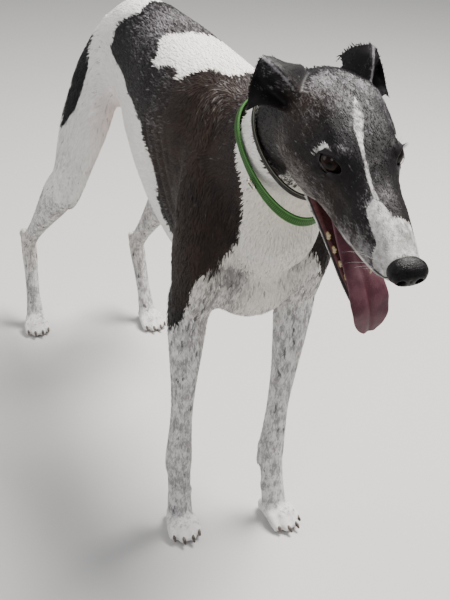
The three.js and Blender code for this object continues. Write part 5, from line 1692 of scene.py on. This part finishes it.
def strapMaterial(name, ground, thread, edge, weave):
    # a plain weave on the strap's own map, u round the neck in millimetres and v across it, stitched at both edges
    material, tree, shader = newLook(name, 0.66, Specular_IOR_Level=0.2)
    split = tree.nodes.new("ShaderNodeSeparateXYZ")
    tree.links.new(add(tree, "UVMap", uv_map="strap"), split.inputs[0])
    u, v = split.outputs[0], split.outputs[1]
    wave = lambda value, step: timesPlus(tree, maths(tree, "SINE", times(tree, value, 6.2832 / step)), 0.5, 0.5)
    over = times(tree, wave(plus(tree, u, v), weave), wave(less(tree, u, v), weave))
    worn = ramp(tree, speckle(tree, ownPlace(tree), 160), 0.35, 0.7)
    colour = mixed(tree, over, ground, thread)
    colour = mixed(tree, times(tree, worn, 0.12), colour, edge)
    fromMiddle = maths(tree, "ABSOLUTE", v)
    rim = less(tree, ramp(tree, fromMiddle, 0.70, 0.76), ramp(tree, fromMiddle, 0.93, 0.97))
    colour = mixed(tree, rim, colour, edge)
    tree.links.new(colour, shader.inputs["Base Color"])
    bumped(tree, shader, timesPlus(tree, over, 0.7, times(tree, rim, 0.4)), 0.7, 0.0006)
    return material


def metalMaterial():
    material, tree, shader = newLook("wornMetal", 0.28, Metallic=1.0)
    worn = ramp(tree, speckle(tree, ownPlace(tree), 300), 0.45, 0.65)
    tree.links.new(mixed(tree, worn, (0.62, 0.60, 0.55), (0.42, 0.35, 0.22)), shader.inputs["Base Color"])
    tree.links.new(ramp(tree, worn, 0.0, 1.0, 0.22, 0.42), shader.inputs["Roughness"])
    return material


def floorMaterial():
    material, tree, shader = newLook("paleFloor", 0.9)
    low, high = view["floorColour"], tuple(c * 0.97 for c in view["floorColour"])
    colour = mixed(tree, speckle(tree, ownPlace(tree), 3), low, high)
    tree.links.new(colour, shader.inputs["Base Color"])
    return material


looks = {
    "coat": furMaterial(), "nose": noseMaterial(), "tongue": tongueMaterial(), "eye": eyeMaterial(),
    "enamel": enamelMaterial(), "claw": clawMaterial(), "metal": metalMaterial(), "floor": floorMaterial(),
    "green": strapMaterial("greenWebbing", (0.014, 0.058, 0.009), (0.048, 0.155, 0.028), (0.07, 0.20, 0.045), 2.2),
    "dark": strapMaterial("darkStrap", (0.004, 0.004, 0.004), (0.011, 0.011, 0.010), (0.13, 0.125, 0.09), 1.6),
}

half = view["floorSize"] / 2
floor = newPiece("floor", [[-half, -half, 0], [half, -half, 0], [half, half, 0], [-half, half, 0]], [[0, 1, 2, 3]])
floor.data.materials.append(looks["floor"])


def hand(piece, look, slot, *nodes):
    piece.data.materials.clear()
    piece.data.materials.append(looks[look])
    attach(piece, "root")
    if nodes:
        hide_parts(*nodes)


bothSides = lambda *names: [name + side for name in names for side in ("_left", "_right")]
p = toTable(meshPoints(bodySkin.data))
onLeg = smooth(-p[:, 2], -430, -400)
fore = (p[:, 0] > 20).astype(float)
areas = {
    "coatRump": (1 - onLeg) * (p[:, 0] <= -110), "coatFlank": (1 - onLeg) * (p[:, 0] > -110) * (p[:, 0] <= 110),
    "coatChest": (1 - onLeg) * (p[:, 0] > 110) * (p[:, 0] <= 275), "coatNeck": (1 - onLeg) * (p[:, 0] > 275),
    "coatForelegs": onLeg * fore, "coatHindlegs": onLeg * (1 - fore),
}
pieces = [tufts(name, bodySkin, area, coat["parts"][name], 11 + i) for i, (name, area) in enumerate(areas.items())]
hidden = np.maximum(valuesOf(headSkin.data, "mouth"), valuesOf(headSkin.data, "lip"))
pieces.append(tufts("coatHead", headSkin, (hidden < 0.3) * 1.0, coat["parts"]["coatHead"], 29))
for piece in pieces:
    hand(piece, "coat", "coat_grey" if piece.name == "coatHead" else "coat_black")
for piece in faceHairs():
    hand(piece, "coat", "coat_grey")
print("coat laid", sum(len(piece.data.polygons) for piece in pieces))
limbNodes = bothSides("shoulder", "forearm", "forepaw", "thigh", "shank", "hindpaw")
hand(bodySkin, "coat", "coat_black", "loin", "chest", "tail", "neck", *limbNodes)
hand(headSkin, "coat", "coat_grey", "head", "jaw", *bothSides("ear"))
hand(nose, "nose", "nose", "nose")
hand(tongue, "tongue", "tongue", "tongue")
hand(teeth, "enamel", "mouth")
hand(eyes[0], "eye", "eye", "eye_left")
hand(eyes[1], "eye", "eye", "eye_right")
hand(bands["green"], "green", "webbing_green", "collar_green")
hand(bands["dark"], "dark", "strap_dark", "collar_dark")
hand(claws, "claw", "nose")
ringNode = bpy.data.objects["collar_ring"]
for slot in ringNode.material_slots:
    slot.material = looks["metal"]
